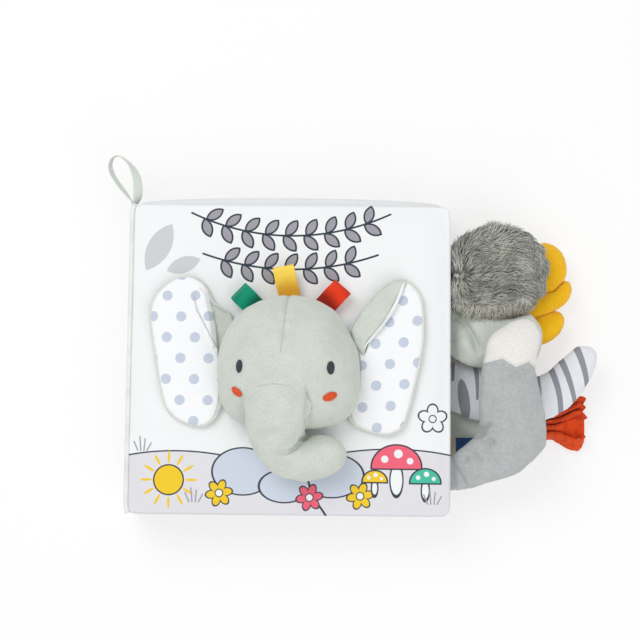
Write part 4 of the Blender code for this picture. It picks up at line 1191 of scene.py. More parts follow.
@dataclass
class PageCloth:
    """One printed cloth of a cover or leaf, full in the middle and sewn at its edge."""

    node: str
    body: str
    side: int
    slot: str
    finish: Finish
    half_height: float = 0.087
    step: float = 2.4
    bow: float = 3.2
    band: float = 18.0
    rim: float = 0.6
    seam_gap: float = 0.15
    pucker: float = 0.35
    corner_pull: float = 1.7

    def build(self) -> Piece:
        """Make the cloth and return it."""
        low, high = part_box(self.node)
        middle = (low + high) / 2
        half_x = (high.x - low.x) / 2
        half_y = self.half_height
        full = high.z - low.z
        seam_z = low.z if self.side > 0 else high.z
        foot_y = low.y + half_y
        count_x = round(2 * half_x / (self.step * MM))
        count_y = round(2 * half_y / (self.step * MM))
        deselect()
        bpy.ops.mesh.primitive_grid_add(x_subdivisions=count_x, y_subdivisions=count_y, size=2.0,
                                        location=(0.0, 0.0, 0.0))
        piece = bpy.context.active_object
        piece.name = self.node + "_dressed"

        def mover(place: Vector, normal: Vector) -> Vector:
            """Place one point of the cloth."""
            across, along = place.x, place.y
            x, y = across * half_x, along * half_y
            pull = self.corner_pull * MM * abs(across * along) ** 34
            bow = self.bow * MM * (1.0 - abs(across) ** 3)
            inset = min(half_x - abs(x), half_y - abs(y)) / MM
            rise = self.swell((half_x - abs(x)) / MM) * self.swell((half_y - abs(y)) / MM)
            rim = (self.rim - self.seam_gap) * MM
            height = rim + (full - rim) * rise
            height -= self.wrinkle(x / MM, y / MM, inset) * MM
            world_x = middle.x + x - math.copysign(pull, x)
            world_y = foot_y + y - math.copysign(pull, y) + bow
            return Vector((world_x, world_y, seam_z + self.side * max(height, 0.2 * MM)))

        shape(piece, mover)
        self.close(piece, seam_z)
        return finish_piece(piece, self.body, (self.node,), self.slot, self.finish)

    def swell(self, inset: float) -> float:
        """Return how full the cloth is at a distance from its edge, from 0 to 1."""
        share = min(max(inset, 0.0) / self.band, 1.0)
        return math.sin(math.pi / 2 * share) ** 0.9

    def wrinkle(self, x: float, y: float, inset: float) -> float:
        """Return how deep the cloth's wrinkles are at a place, in millimetres.

        Args:
            x: the place across the page.
            y: the place along it.
            inset: the distance from the nearest edge.

        Returns:
            The depth.
        """
        seed = 17.0 * self.side + len(self.node)
        soft = 0.5 + 0.5 * noise.noise(Vector((x / 34.0, y / 30.0, seed)))
        fine = 0.5 + 0.5 * noise.noise(Vector((x / 9.0, y / 9.0, seed + 5.0)))
        gather = noise.noise(Vector((x / 5.0, y / 5.0, seed + 9.0)))
        near = math.exp(-inset / 9.0) * (1.0 - math.exp(-inset / 1.5))
        return 0.85 * soft + 0.16 * fine + self.pucker * near * (1.0 + gather)

    def close(self, piece: Piece, seam_z: float) -> None:
        """Close the cloth with a flat face in the seam's plane.

        Args:
            piece: the open cloth.
            seam_z: the height of the seam.
        """
        take(piece)
        bpy.ops.object.mode_set(mode="EDIT")
        bpy.ops.mesh.select_mode(type="EDGE")
        bpy.ops.mesh.select_all(action="DESELECT")
        bpy.ops.mesh.select_non_manifold()
        bpy.ops.mesh.extrude_edges_move()
        bpy.ops.object.mode_set(mode="OBJECT")
        for vertex in piece.data.vertices:
            if vertex.select:
                vertex.co.z = seam_z
        bpy.ops.object.mode_set(mode="EDIT")
        bpy.ops.mesh.edge_face_add()
        bpy.ops.mesh.select_all(action="SELECT")
        bpy.ops.mesh.normals_make_consistent(inside=False)
        bpy.ops.object.mode_set(mode="OBJECT")
        piece.data.update()


@dataclass
class Pages:
    """The two covers and four leaves with their fillings."""

    prints: dict[str, tuple[Dye, Dye, Dye]] = field(default_factory=lambda: {
        "front_cover_inner_cloth": (Dye.PAGE, Dye.SKY, Dye.YELLOW),
        "leaf_1_front_cloth": (Dye.COVER, Dye.COVER, Dye.COVER),
        "leaf_1_back_cloth": (Dye.CREAM, Dye.TEAL, Dye.YELLOW),
        "leaf_2_front_cloth": (Dye.CREAM, Dye.GREY_PRINT, Dye.CORAL),
        "leaf_2_back_cloth": (Dye.MINT, Dye.TEAL, Dye.YELLOW),
        "leaf_3_front_cloth": (Dye.MINT, Dye.SKY, Dye.CORAL),
        "leaf_3_back_cloth": (Dye.BLUSH, Dye.CORAL, Dye.TEAL),
        "leaf_4_front_cloth": (Dye.BLUSH, Dye.GREY_PRINT, Dye.YELLOW),
        "leaf_4_back_cloth": (Dye.PAGE, Dye.TEAL, Dye.CORAL),
        "back_cover_inner_cloth": (Dye.CREAM, Dye.SKY, Dye.TEAL),
    })

    def build(self) -> None:
        """Make the twelve cloths and dress the fillings."""
        outer = CoverPrint("front_print")
        PageCloth("front_cover_outer_cloth", "front_cover", 1, "cover_cloth", outer,
                  step=1.5, bow=0.0, pucker=0.5).build()
        back = PagePrint("back_print", Dye.COVER, Dye.PALE_GREY, Dye.SKY, 30.0)
        PageCloth("back_cover_outer_cloth", "back_cover", -1, "cover_cloth", back).build()
        for node, dyes in self.prints.items():
            body = node.rsplit("_", 2)[0]
            side = 1 if node.endswith(("front_cloth", "back_cover_inner_cloth")) else -1
            bow = 0.0 if body == "front_cover" else 3.2
            finish = PagePrint(node + "_print", *dyes)
            PageCloth(node, body, side, "leaf_cloth", finish, bow=bow).build()
        self.dress()

    def dress(self) -> None:
        """Give the films and waddings their materials."""
        film = Filling("crackle_film", Dye.FILM, Dye.PALE_GREY, 6.0, 0.25)
        wadding = Filling("soft_wadding", Dye.WADDING, Dye.PALE_GREY, 2.5, 0.95)
        for name, node in frame["nodes"].items():
            for ending, finish in (("_film", film), ("_wadding", wadding)):
                if name.endswith(ending):
                    node.data.materials.clear()
                    node.data.materials.append(WARDROBE.get(finish))


@dataclass
class Binding:
    """The spine cloth, the cloth over its two hinges and the hanging loop."""

    cloth: PlainCloth = PlainCloth("spine_print", Dye.COVER, Dye.PALE_GREY)
    edge: PlainCloth = PlainCloth("edge_cloth", Dye.EDGE, Dye.PALE_GREY)
    ribbon: WovenRibbon = WovenRibbon("loop_ribbon", Dye.RIBBON, Dye.RIBBON_SHADE)

    def build(self) -> None:
        """Make the spine, its hinge strips and the loop."""
        spine = copy_node("spine_wrap", "spine_cloth")
        remesh(spine, 1.6)
        shape(spine, self.ripple)
        finish_piece(spine, "spine", ("spine_cloth",), "cover_cloth", self.cloth)
        low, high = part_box("spine_cloth")
        self.hinge("back_hinge_strip", low.z, -1)
        self.hinge("front_hinge_strip", high.z, 1)
        loop = copy_node("hanging_ribbon", "hanging_loop")
        refine(loop, 2)
        shape(loop, self.leaned)
        finish_piece(loop, "loop", ("hanging_loop",), "sage_ribbon", self.ribbon)

    def leaned(self, place: Vector, normal: Vector) -> Vector:
        """Lean the ribbon's upper edge out along the loop's left side and its top."""
        x, y, z = place / MM
        left = soft_step(0.0, 5.0, -88.8 - (y - 88.0) * 0.38 - x) * soft_step(88.0, 92.0, y)
        top = soft_step(108.0, 115.0, y)
        high = z - 34.0
        return place + Vector((-0.36 * left * high, (-0.20 * left + 0.4 * top) * high, 0.0)) * MM

    def ripple(self, place: Vector, normal: Vector) -> Vector:
        """Crumple the spine cloth a little, inwards."""
        depth = 0.5 + 0.5 * noise.noise(Vector((0.0, place.y / 0.011, place.z / 0.014)))
        return place - normal * (depth * 0.35 * MM)

    def hinge(self, name: str, edge_z: float, side: int) -> None:
        """Make one strip of cloth that bends at a hinge.

        Args:
            name: the strip's name.
            edge_z: the height of the spine cloth's edge.
            side: 1 at the front cover, -1 at the back cover.
        """
        low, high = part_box("spine_cloth")
        middle_y = (low.y + high.y) / 2
        deselect()
        bpy.ops.mesh.primitive_grid_add(x_subdivisions=90, y_subdivisions=14, size=1.0,
                                        location=(0.0, 0.0, 0.0))
        strip = bpy.context.active_object
        strip.name = name

        def mover(place: Vector, normal: Vector) -> Vector:
            """Place one point of the strip."""
            share = place.y + 0.5
            turn = math.pi / 2 * clamp((share - 0.5) / 0.36)
            run = max(share - 0.86, 0.0) / 0.14
            up = 2.2 * min(share / 0.5, 1.0) + 0.85 * math.sin(turn) - 0.15 * run
            inward = 0.95 * (1.0 - math.cos(turn)) + 1.3 * run
            end = max(abs(place.x) - 0.47, 0.0) / 0.03
            x = low.x + (0.1 + inward + 1.1 * end * end) * MM
            z = edge_z + side * (up - 1.0) * MM
            return Vector((x, middle_y + place.x * (0.1738 - inward * 0.0004), z))

        shape(strip, mover)
        wall = strip.modifiers.new("wall", "SOLIDIFY")
        wall.thickness = 0.6 * MM
        wall.offset = 0.0
        apply_modifiers(strip)
        edit(strip, lambda: bpy.ops.mesh.normals_make_consistent(inside=False))
        finish_piece(strip, None, (), "cover_cloth", self.edge)
        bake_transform(strip)


@dataclass
class HeadPlush:
    """The head with its trunk, eyes, cheeks and ribbon tags."""

    seam: tuple[Spot, Spot] = ((-0.2, 33.6), (-3.2, 0.0))
    dart: tuple[Spot, Spot, Spot] = ((-15.0, -18.2), (-7.0, -16.9), (1.0, -17.9))
    # Points along the trunk's curl, drawn as a dark line of painted fold shadow.
    curl: tuple[Spot, ...] = ((10.2, -43.6), (8.4, -47.4), (5.4, -51.0), (1.6, -53.4),
                              (-1.6, -54.3))
    seam_width: float = 1.3
    seam_depth: float = 1.2
    skin_reach: float = 15.0
    skin_rounds: int = 36
    overlap: Spot = (1.6, 4.4)
    parting: Spot = (-40.0, -27.0)
    root_sink: tuple[Spot, ...] = ((-40.0, 0.0), (-32.0, 1.0), (-28.0, 2.0), (-24.0, 3.4),
                                   (-20.0, 4.6), (-16.0, 5.6), (-12.0, 4.6), (-8.0, 4.4))
    temple: tuple[float, float, float] = (15.0, 11.0, 2.8)
    chin: Spot = (-14.0, 3.2)

    def build(self) -> None:
        """Make the head's pieces."""
        (top, low), (left, middle, right) = self.seam, self.dart
        # The seam and the dart are sewn lines; the curl's lines are painted fold shadow.
        plush = Plush("sage_head_plush", Dye.SAGE, Dye.SAGE_SHADE, 0.0,
                      lines=((top, low, 0.35), (left, middle, 0.25), (middle, right, 0.25),
                             *((first, last, 0.4) for first, last in zip(self.curl,
                                                                         self.curl[1:]))))
        head = plush_form("head_plush", ("head",), 2.0, 3, self.fuller)
        trunk = plush_form("trunk_plush", ("trunk",), 1.8, 3, self.sunk)
        skin = self.common_skin(head, trunk)
        head_tree, trunk_tree = tree_of(head), tree_of(trunk)
        shape(head, self.joined, skin, trunk_tree)
        shape(trunk, self.joined, skin, head_tree)
        shape(head, self.seamed)
        shape(head, creased((Crease((11.6, -16.0), (11.2, -40.0), 1.7, 1.6),
                             Crease((-24.0, -20.0), (-22.0, -38.0), 3.0, 1.2))))
        shape(trunk, creased((
            Crease((11.4, -42.0), (7.2, -49.2), 1.3, 4.2),
            Crease((8.2, -48.0), (2.4, -53.2), 1.3, 3.6),
            Crease((4.4, -52.2), (-4.6, -54.8), 1.6, 2.2),
            Crease((11.6, -20.0), (11.0, -44.0), 1.6, 1.5),
            Crease((-12.0, -46.0), (-3.0, -42.0), 2.6, 0.7),
            Crease((16.0, -50.0), (24.0, -56.0), 2.6, 0.6),
        ), 0.7, 13.0))
        finish_piece(head, "front_cover", ("head",), "sage_plush", plush)
        finish_piece(trunk, None, ("trunk",), "sage_plush", plush)
        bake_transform(trunk)
        self.build_stitches(tree_of(head))
        self.build_tags()

    def fuller(self, place: Vector, normal: Vector) -> Vector:
        """Draw the right temple in and let the chin hang lower."""
        x, y, z = place / MM
        level, width, depth = self.temple
        share = clamp((x - 12.0) / 22.0)
        drawn = depth * share * bell(y, level, width)
        start, drop = self.chin
        low = clamp((start - y) / 22.0)
        return Vector(((x - drawn) * MM, (y - drop * low * low) * MM, z * MM))

    def sunk(self, place: Vector, normal: Vector) -> Vector:
        """Sink the trunk's root into the forehead."""
        y = place.y / MM
        depth = 0.0
        for (first, start), (last, end) in zip(self.root_sink, self.root_sink[1:]):
            if first <= y <= last:
                depth = start + (end - start) * (y - first) / (last - first)
        if y > self.root_sink[-1][0]:
            depth = self.root_sink[-1][1]
        wide = 1.8 * math.exp(-((y + 30.0) / 9.0) ** 2) * min(max(place.x / MM, 0.0) / 8.0, 1.0)
        return place + Vector((wide * MM, 0.0, -depth * MM))

    def common_skin(self, head: Piece, trunk: Piece) -> BVHTree:
        """Return one smooth skin over the head and its trunk.

        Args:
            head: the head's skin.
            trunk: the trunk's skin.

        Returns:
            The skin, for finding the nearest place on it.
        """
        trees = tree_of(head), tree_of(trunk)
        skin = merged([placed("common_skin", piece.data.copy()) for piece in (head, trunk)])
        remesh(skin, 1.6)
        group = skin.vertex_groups.new(name="near_join")
        for vertex in skin.data.vertices:
            apart = max(tree.find_nearest(vertex.co)[3] for tree in trees) / MM
            high = clamp((vertex.co.y / MM - self.parting[0]) / 12.0)
            group.add([vertex.index], math.exp(-(apart / self.skin_reach) ** 2 * 2.0) * high,
                      "REPLACE")
        modifier = skin.modifiers.new("relax", "SMOOTH")
        modifier.factor = 0.6
        modifier.iterations = self.skin_rounds
        modifier.vertex_group = group.name
        apply_modifiers(skin)
        tree = tree_of(skin)
        bpy.data.objects.remove(skin)
        return tree

    def joined(self, skin: BVHTree, other: BVHTree, place: Vector, normal: Vector) -> Vector:
        """Draw a skin onto the common one where it meets the other piece's skin."""
        inner, deep = self.overlap
        near, out, _face, apart = other.find_nearest(place)
        apart /= MM
        if (place - near).dot(out) < 0.0:
            share = 1.0 - soft_step(inner, deep, apart)
        else:
            share = 1.0 - soft_step(self.skin_reach, self.skin_reach + 5.0, apart)
        share *= soft_step(*self.parting, place.y / MM)
        if share <= 0.0:
            return place
        return place.lerp(skin.find_nearest(place)[0], share)

    def seamed(self, place: Vector, normal: Vector) -> Vector:
        """Sink the head's middle seam, with small tucks along it, and lump the stuffing."""
        x, y, z = place / MM
        (top_x, top_y), (low_x, low_y) = self.seam
        line = top_x + (low_x - top_x) * (top_y - y) / (top_y - low_y)
        apart = abs(x - line)
        lump = noise.noise(place / (15 * MM)) * 0.6 + noise.noise(place / (6 * MM)) * 0.15
        if y < -20.0 or z < 46.0:
            return place + normal * (lump * MM)
        fade = soft_step(-14.0, 20.0, y)
        groove = self.seam_depth * math.exp(-(apart / self.seam_width) ** 2)
        tucks = noise.noise(Vector((x / 7.0, y / 2.8, z / 2.8))) * math.exp(-apart / 5.0) * 0.8
        return place + normal * ((lump - groove * fade + tucks * fade) * MM)

    def build_stitches(self, head: BVHTree) -> None:
        """Make the embroidered eyes and cheeks, laid on the head's skin."""
        eye = Stitching("charcoal_stitches", Dye.CHARCOAL, Dye.INK, 78.0)
        cheek = Stitching("coral_stitches", Dye.CORAL_THREAD, Dye.FELT, 25.0)
        for node, finish, slot, lean, wide in (
                ("eye_left", eye, "charcoal_thread", 0.16, 0.86),
                ("eye_right", eye, "charcoal_thread", -0.05, 1.0),
                ("cheek_left", cheek, "coral_thread", -0.35, 0.72),
                ("cheek_right", cheek, "coral_thread", 0.0, 1.1)):
            patch = rounded(node + "_stitched", (node,), 0.35, 2)
            low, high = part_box(node)
            shape(patch, self.laid, head, (low + high) / 2, lean, wide)
            finish_piece(patch, "front_cover", (node,), slot, finish)

    def laid(self, head: BVHTree, middle: Vector, lean: float, wide: float, place: Vector,
             normal: Vector) -> Vector:
        """Lay a stitched patch on the head's skin, slanted by lean and stretched by wide."""
        local = place - middle
        near = head.find_nearest(place)
        depth = (place - near[0]).dot(near[1])
        moved = middle + Vector((local.x * wide + local.y * lean, local.y, local.z))
        landed = head.find_nearest(moved)
        rise = 0.45 * MM if depth > 0.0 else -0.6 * MM
        return landed[0] + landed[1] * rise

    def build_tags(self) -> None:
        """Make the three satin tags, with their painted highlight and painted shade."""
        # Each row's last entry places the tag's painted highlight band and its painted shade
        # towards the root and the end.
        for node, light, shade, turn, slot, painted_gloss_bands in (
                ("tag_green", Dye.GREEN, Dye.GREEN_SHADE, 136.0, "green_satin",
                 ((-21.5, 34.5), 5.5)),
                ("tag_yellow", Dye.YELLOW_SATIN, Dye.YELLOW_SHADE, 103.0, "yellow_satin",
                 ((-1.5, 45.5), 8.5)),
                ("tag_red", Dye.RED, Dye.RED_SHADE, 47.0, "red_satin", ((24.0, 36.0), 5.5))):
            tag = rounded(node + "_loop", (node,), 0.35, 2)
            shape(tag, creased((), 0.25, 5.0))
            finish_piece(tag, "front_cover", (node,), slot,
                         Satin(slot, light, shade, turn, *painted_gloss_bands))


@dataclass
class Ears:
    """The two ears: a plush rim round a puffed, dotted lining."""

    fold: tuple[Spot, ...] = ((-53.6, 34.5), (-51.4, 25.8), (-46.8, 17.5), (-42.7, 9.7),
                              (-38.8, 3.6))
    piping: tuple[tuple[float, float, float], ...] = (
        (63.6, 42.6, 49.0), (62.2, 38.6, 49.8), (60.4, 33.4, 50.2), (57.4, 27.4, 50.3),
        (54.0, 21.4, 50.3), (49.6, 15.6, 50.2), (45.2, 10.6, 50.0), (42.6, 7.6, 49.6),
        (40.9, 3.6, 48.8))
    piping_radii: tuple[float, ...] = (0.55, 0.85, 0.95, 0.95, 0.9, 0.8, 0.65, 0.5, 0.35)

    def build(self) -> None:
        """Make both ears."""
        # The left ear's lining takes the fold's points for a painted shadow line along it.
        for side, start, turn, lean, folds in (
                ("left", (-60.2, 22.3), 0.0, 0.0, self.fold),
                ("right", (55.9, -3.1), 3.5, -0.04, ())):
            sign = 1.0 if side == "right" else -1.0
            body = side + "_ear"
            back = f"ear_{side}_back"
            lining = f"ear_{side}_lining"
            low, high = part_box(lining)
            rim = rounded(back + "_plush", (back,), 0.8, 3)
            shape(rim, self.sewn, sign)
            shape(rim, self.reached, sign)
            finish_piece(rim, body if sign > 0.0 else None, (back,), "sage_plush",
                         EarPlush(back + "_plush", Dye.SAGE, Dye.SAGE_SHADE, 90.0, side=sign))
            if sign < 0.0:
                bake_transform(rim)
            panel = rounded(lining + "_cotton", (lining,), 0.8, 3)
            shape(panel, self.widened, (low + high) / 2, high - low, sign)
            shape(panel, self.gathered, sign)
            if sign > 0.0:
                shape(panel, self.reached, sign)
            finish_piece(panel, body, (lining,), "ear_cotton",
                         DottedCotton("dotted_" + side, start, turn, lean=lean, folds=folds))
        self.build_piping()

    def sewn(self, sign: float, place: Vector, normal: Vector) -> Vector:
        """Pucker an ear's back at the head; sign is 1 for the right ear, -1 for the left one."""
        x, y, z = place / MM
        root = math.exp(-max(abs(x) - 38.0, 0.0) / 5.0)
        tuck = noise.noise(Vector((x / 9.0, y / 2.6, z / 9.0))) * root * 0.6
        lump = noise.noise(place / (9.0 * MM)) * 0.25
        pull = 0.0
        if sign > 0.0 and z > 46.5:
            pull = 3.4 * bell(y, 15.0, 8.0) * soft_step(47.0, 40.0, x)
        return place + normal * ((lump + tuck) * MM) - Vector((pull * MM, 0.0, 0.0))

    def reached(self, sign: float, place: Vector, normal: Vector) -> Vector:
        """Draw an ear in to the head: the right one below the chin."""
        x, y, _z = place / MM
        if sign < 0.0:
            share = soft_step(-48.0, -41.5, x) * soft_step(32.0, 23.5, y)
            share *= soft_step(-4.0, 8.0, y)
            return place + Vector((8.5 * share * MM, 0.0, 0.0))
        share = soft_step(-12.0, -34.0, y) * soft_step(58.0, 40.0, x)
        return place + Vector((-5.5 * share * MM, 2.0 * share * MM, 0.0))

    def widened(self, middle: Vector, size: Vector, sign: float, place: Vector,
                normal: Vector) -> Vector:
        """Let a lining of a middle and size reach nearer to the ear's free edges."""
        across = (place.x - middle.x) / (size.x / 2) * sign
        along = (place.y - middle.y) / (size.y / 2)
        x = place.x + sign * max(across, 0.0) * 1.5 * MM
        return Vector((x, place.y + along * 1.6 * MM, place.z))

    def gathered(self, sign: float, place: Vector, normal: Vector) -> Vector:
        """Give a lining its fold and the gathers of its edge."""
        x, y, z = place / MM
        lump = noise.noise(place / (8.0 * MM)) * 0.3
        crease = noise.noise(Vector((x / 16.0, y / 5.0, 3.0))) * 0.35
        step = 0.0
        if sign < 0.0 and z > 47.0:
            side, apart = self.beside_fold(x, y)
            fade = soft_step(36.0, 28.0, y) * soft_step(1.0, 5.0, y)
            step = (0.5 + 1.5 * side) * math.exp(-abs(apart) / 4.0) * fade
        return place + normal * ((lump + crease) * MM) + Vector((0.0, 0.0, step * MM))

    def beside_fold(self, x: float, y: float) -> Spot:
        """Return which side of the left ear's fold a place is on, and how far from it.

        Args:
            x: the place across, in millimetres.
            y: the place along, in millimetres.

        Returns:
            From -1 to 1, softly, and the distance in millimetres.
        """
        for (high_x, high_y), (low_x, low_y) in zip(self.fold, self.fold[1:]):
            if low_y <= y <= high_y:
                apart = x - low_x - (high_x - low_x) * (y - low_y) / (high_y - low_y)
                return min(max(apart / 0.4, -1.0), 1.0), apart
        return 0.0, 99.0

    def build_piping(self) -> None:
        """Make the white edge that shows along the right ear's turned corner."""
        piping = tube("right_ear_piping", self.piping, self.piping_radii)
        finish_piece(piping, "right_ear", (), "ear_cotton",
                     PlainCloth("ear_piping_cotton", Dye.EAR_COTTON, Dye.PALE_GREY, COTTON_PITCH))


@dataclass
class Fur:
    """A coat of tapered, curved locks over a stuffed skin."""

    whorl: Spot = (98.7, 47.7)
    size: Spot = (46.0, 28.0)
    count: int = 5200
    fringe_count: int = 460
    length: Spot = (6.0, 10.0)
    width: Spot = (0.55, 0.92)
    rise: float = 1.9
    fringe_line: tuple[Spot, ...] = ((91.5, 37.0), (98.0, 33.0), (107.0, 31.0), (116.0, 31.4),
                                     (126.0, 34.0), (134.0, 37.5))
    left_end: float = 90.4
    rings: int = 5
    seed: int = 11

    def grow(self, name: str, skin: Piece) -> Piece:
        """Make the coat.

        Args:
            name: the coat's name.
            skin: the stuffed skin below it.

        Returns:
            One object with all its locks.
        """
        points, faces = self.template()
        draw = random.Random(self.seed)
        verts: list[Vector] = []
        polygons: list[tuple[int, ...]] = []
        ends: list[float] = []
        tones: list[float] = []
        for root, out, heading, length, width, tone in self.roots(skin, draw):
            first = len(verts)
            verts.extend(self.bend(points, root, out, heading, length, width, draw))
            polygons.extend(tuple(first + corner for corner in face) for face in faces)
            ends.extend(point.z for point in points)
            tones.extend([tone] * len(points))
        mesh = bpy.data.meshes.new(name)
        mesh.from_pydata(verts, [], polygons)
        for title, levels in (("lock_end", ends), ("lock_tone", tones)):
            layer = mesh.attributes.new(title, "FLOAT", "POINT")
            layer.data.foreach_set("value", levels)
        mesh.update()
        coat = placed(name, mesh)
        edit(coat, lambda: bpy.ops.mesh.normals_make_consistent(inside=False))
        return coat

    def template(self) -> tuple[list[Vector], list[tuple[int, ...]]]:
        """Model one straight lock of length 1 and return its points and faces."""
        deselect()
        bpy.ops.mesh.primitive_cone_add(vertices=3, radius1=1.0, radius2=0.12, depth=1.0,
                                        location=(0.0, 0.0, 0.5))
        lock = bpy.context.active_object
        take(lock)
        bpy.ops.object.transform_apply(location=True, rotation=False, scale=False)
        edit(lock, *(lambda level=number / self.rings: bpy.ops.mesh.bisect(
            plane_co=(0.0, 0.0, level), plane_no=(0.0, 0.0, 1.0))
            for number in range(1, self.rings)))
        points = [vertex.co.copy() for vertex in lock.data.vertices]
        faces = [tuple(polygon.vertices) for polygon in lock.data.polygons]
        bpy.data.objects.remove(lock)
        return points, faces

    def roots(self, skin: Piece, draw: random.Random) -> Iterable[tuple]:
        """Scatter the locks' roots over the skin, and along its lower edge for the fringe.

        Args:
            skin: the stuffed skin.
            draw: the seeded random numbers.

        Yields:
            Each lock's root, outward direction, heading, length, width and tone.
        """
        mesh = skin.data
        polygons = [item for item in mesh.polygons if item.normal.z > -0.35]
        picked = draw.choices(polygons, weights=[item.area for item in polygons], k=self.count)
        for item in picked:
            corners = [mesh.vertices[number].co for number in item.vertices]
            shares = [draw.random() + 0.05 for _corner in corners]
            root = sum((corner * share for corner, share in zip(corners, shares)), Vector())
            root /= sum(shares)
            heading = self.heading(root) + draw.gauss(0.0, 0.22)
            patch = noise.noise(root / (11.0 * MM))
            length = draw.uniform(*self.length) * (1.0 + 0.25 * patch)
            out = (item.normal + Vector((0.0, 0.0, 0.5))).normalized()
            yield (root, out, heading, length, draw.uniform(*self.width),
                   0.45 + 0.5 * patch + draw.gauss(0.0, 0.2))
        tree = tree_of(skin)
        for number in range(self.fringe_count):
            share = (number + draw.random()) / self.fringe_count * (len(self.fringe_line) - 1)
            index = min(int(share), len(self.fringe_line) - 2)
            start, end = (Vector((*spot, 36.0)) for spot in self.fringe_line[index:index + 2])
            spot = start.lerp(end, share - index) * MM
            spot.y += draw.uniform(-2.5, 2.5) * MM
            root, out, _face, _apart = tree.find_nearest(spot)
            out = (out + Vector((0.0, 0.0, 3.0))).normalized()
            heading = math.radians(-92.0 + 18.0 * math.sin(share * 2.3)) + draw.gauss(0.0, 0.3)
            yield (root, out, heading, draw.uniform(3.5, 9.5), draw.uniform(0.45, 0.85),
                   0.95 + draw.gauss(0.0, 0.35))

    def heading(self, root: Vector) -> float:
        """Return the way that the fur lies at a place, as an angle about Z."""
        x, y, _z = root / MM
        across = (x - self.whorl[0]) / self.size[0]
        along = (y - self.whorl[1]) / self.size[1]
        angle = 14.0 - 88.0 * soft_step(0.38, 0.92, across)
        angle -= 46.0 * soft_step(0.25, 0.95, -along) * (1.0 - soft_step(0.5, 0.9, across))
        angle += 48.0 * soft_step(0.40, 0.95, along) * (1.0 - soft_step(0.35, 0.75, across))
        if across < 0.06:
            angle += (95.0 if along > 0.0 else -80.0) * soft_step(0.06, -0.10, across)
        angle += 46.0 * noise.noise(Vector((x / 10.0, y / 8.0, 4.0)))
        return math.radians(angle)

    def bend(self, points: Sequence[Vector], root: Vector, out: Vector, heading: float,
             length: float, width: float, draw: random.Random) -> Iterable[Vector]:
        """Bend the straight lock along its way over the skin.

        Args:
            points: the straight lock's points.
            root: where it grows.
            out: the skin's outward direction there.
            heading: the way that it lies.
            length: its length in millimetres.
            width: half its width in millimetres.
            draw: the seeded random numbers.

        Yields:
            Each point's place.
        """
        way = Vector((math.cos(heading), math.sin(heading), 0.0))
        way -= out * way.dot(out)
        way = way.normalized() if way.length > 0.05 else Vector((0.0, 0.0, -1.0))
        side = out.cross(way)
        curl = draw.uniform(-0.30, 0.30)
        lift = self.rise * draw.uniform(0.55, 1.25)
        start = root - out * (0.7 * MM)
        for point in points:
            far = point.z
            arch = math.sin(math.pi * min(far * 0.92 + 0.04, 1.0)) * lift + 0.5 * far
            middle = (start + way * (far * length * MM) + out * (arch * MM)
                      + side * (curl * far * far * length * MM))
            middle.x = max(middle.x, self.left_end * MM)
            taper = width * MM * (1.0 - 0.35 * far)
            yield middle + side * (point.x * taper) + out * (point.y * taper * 0.7)


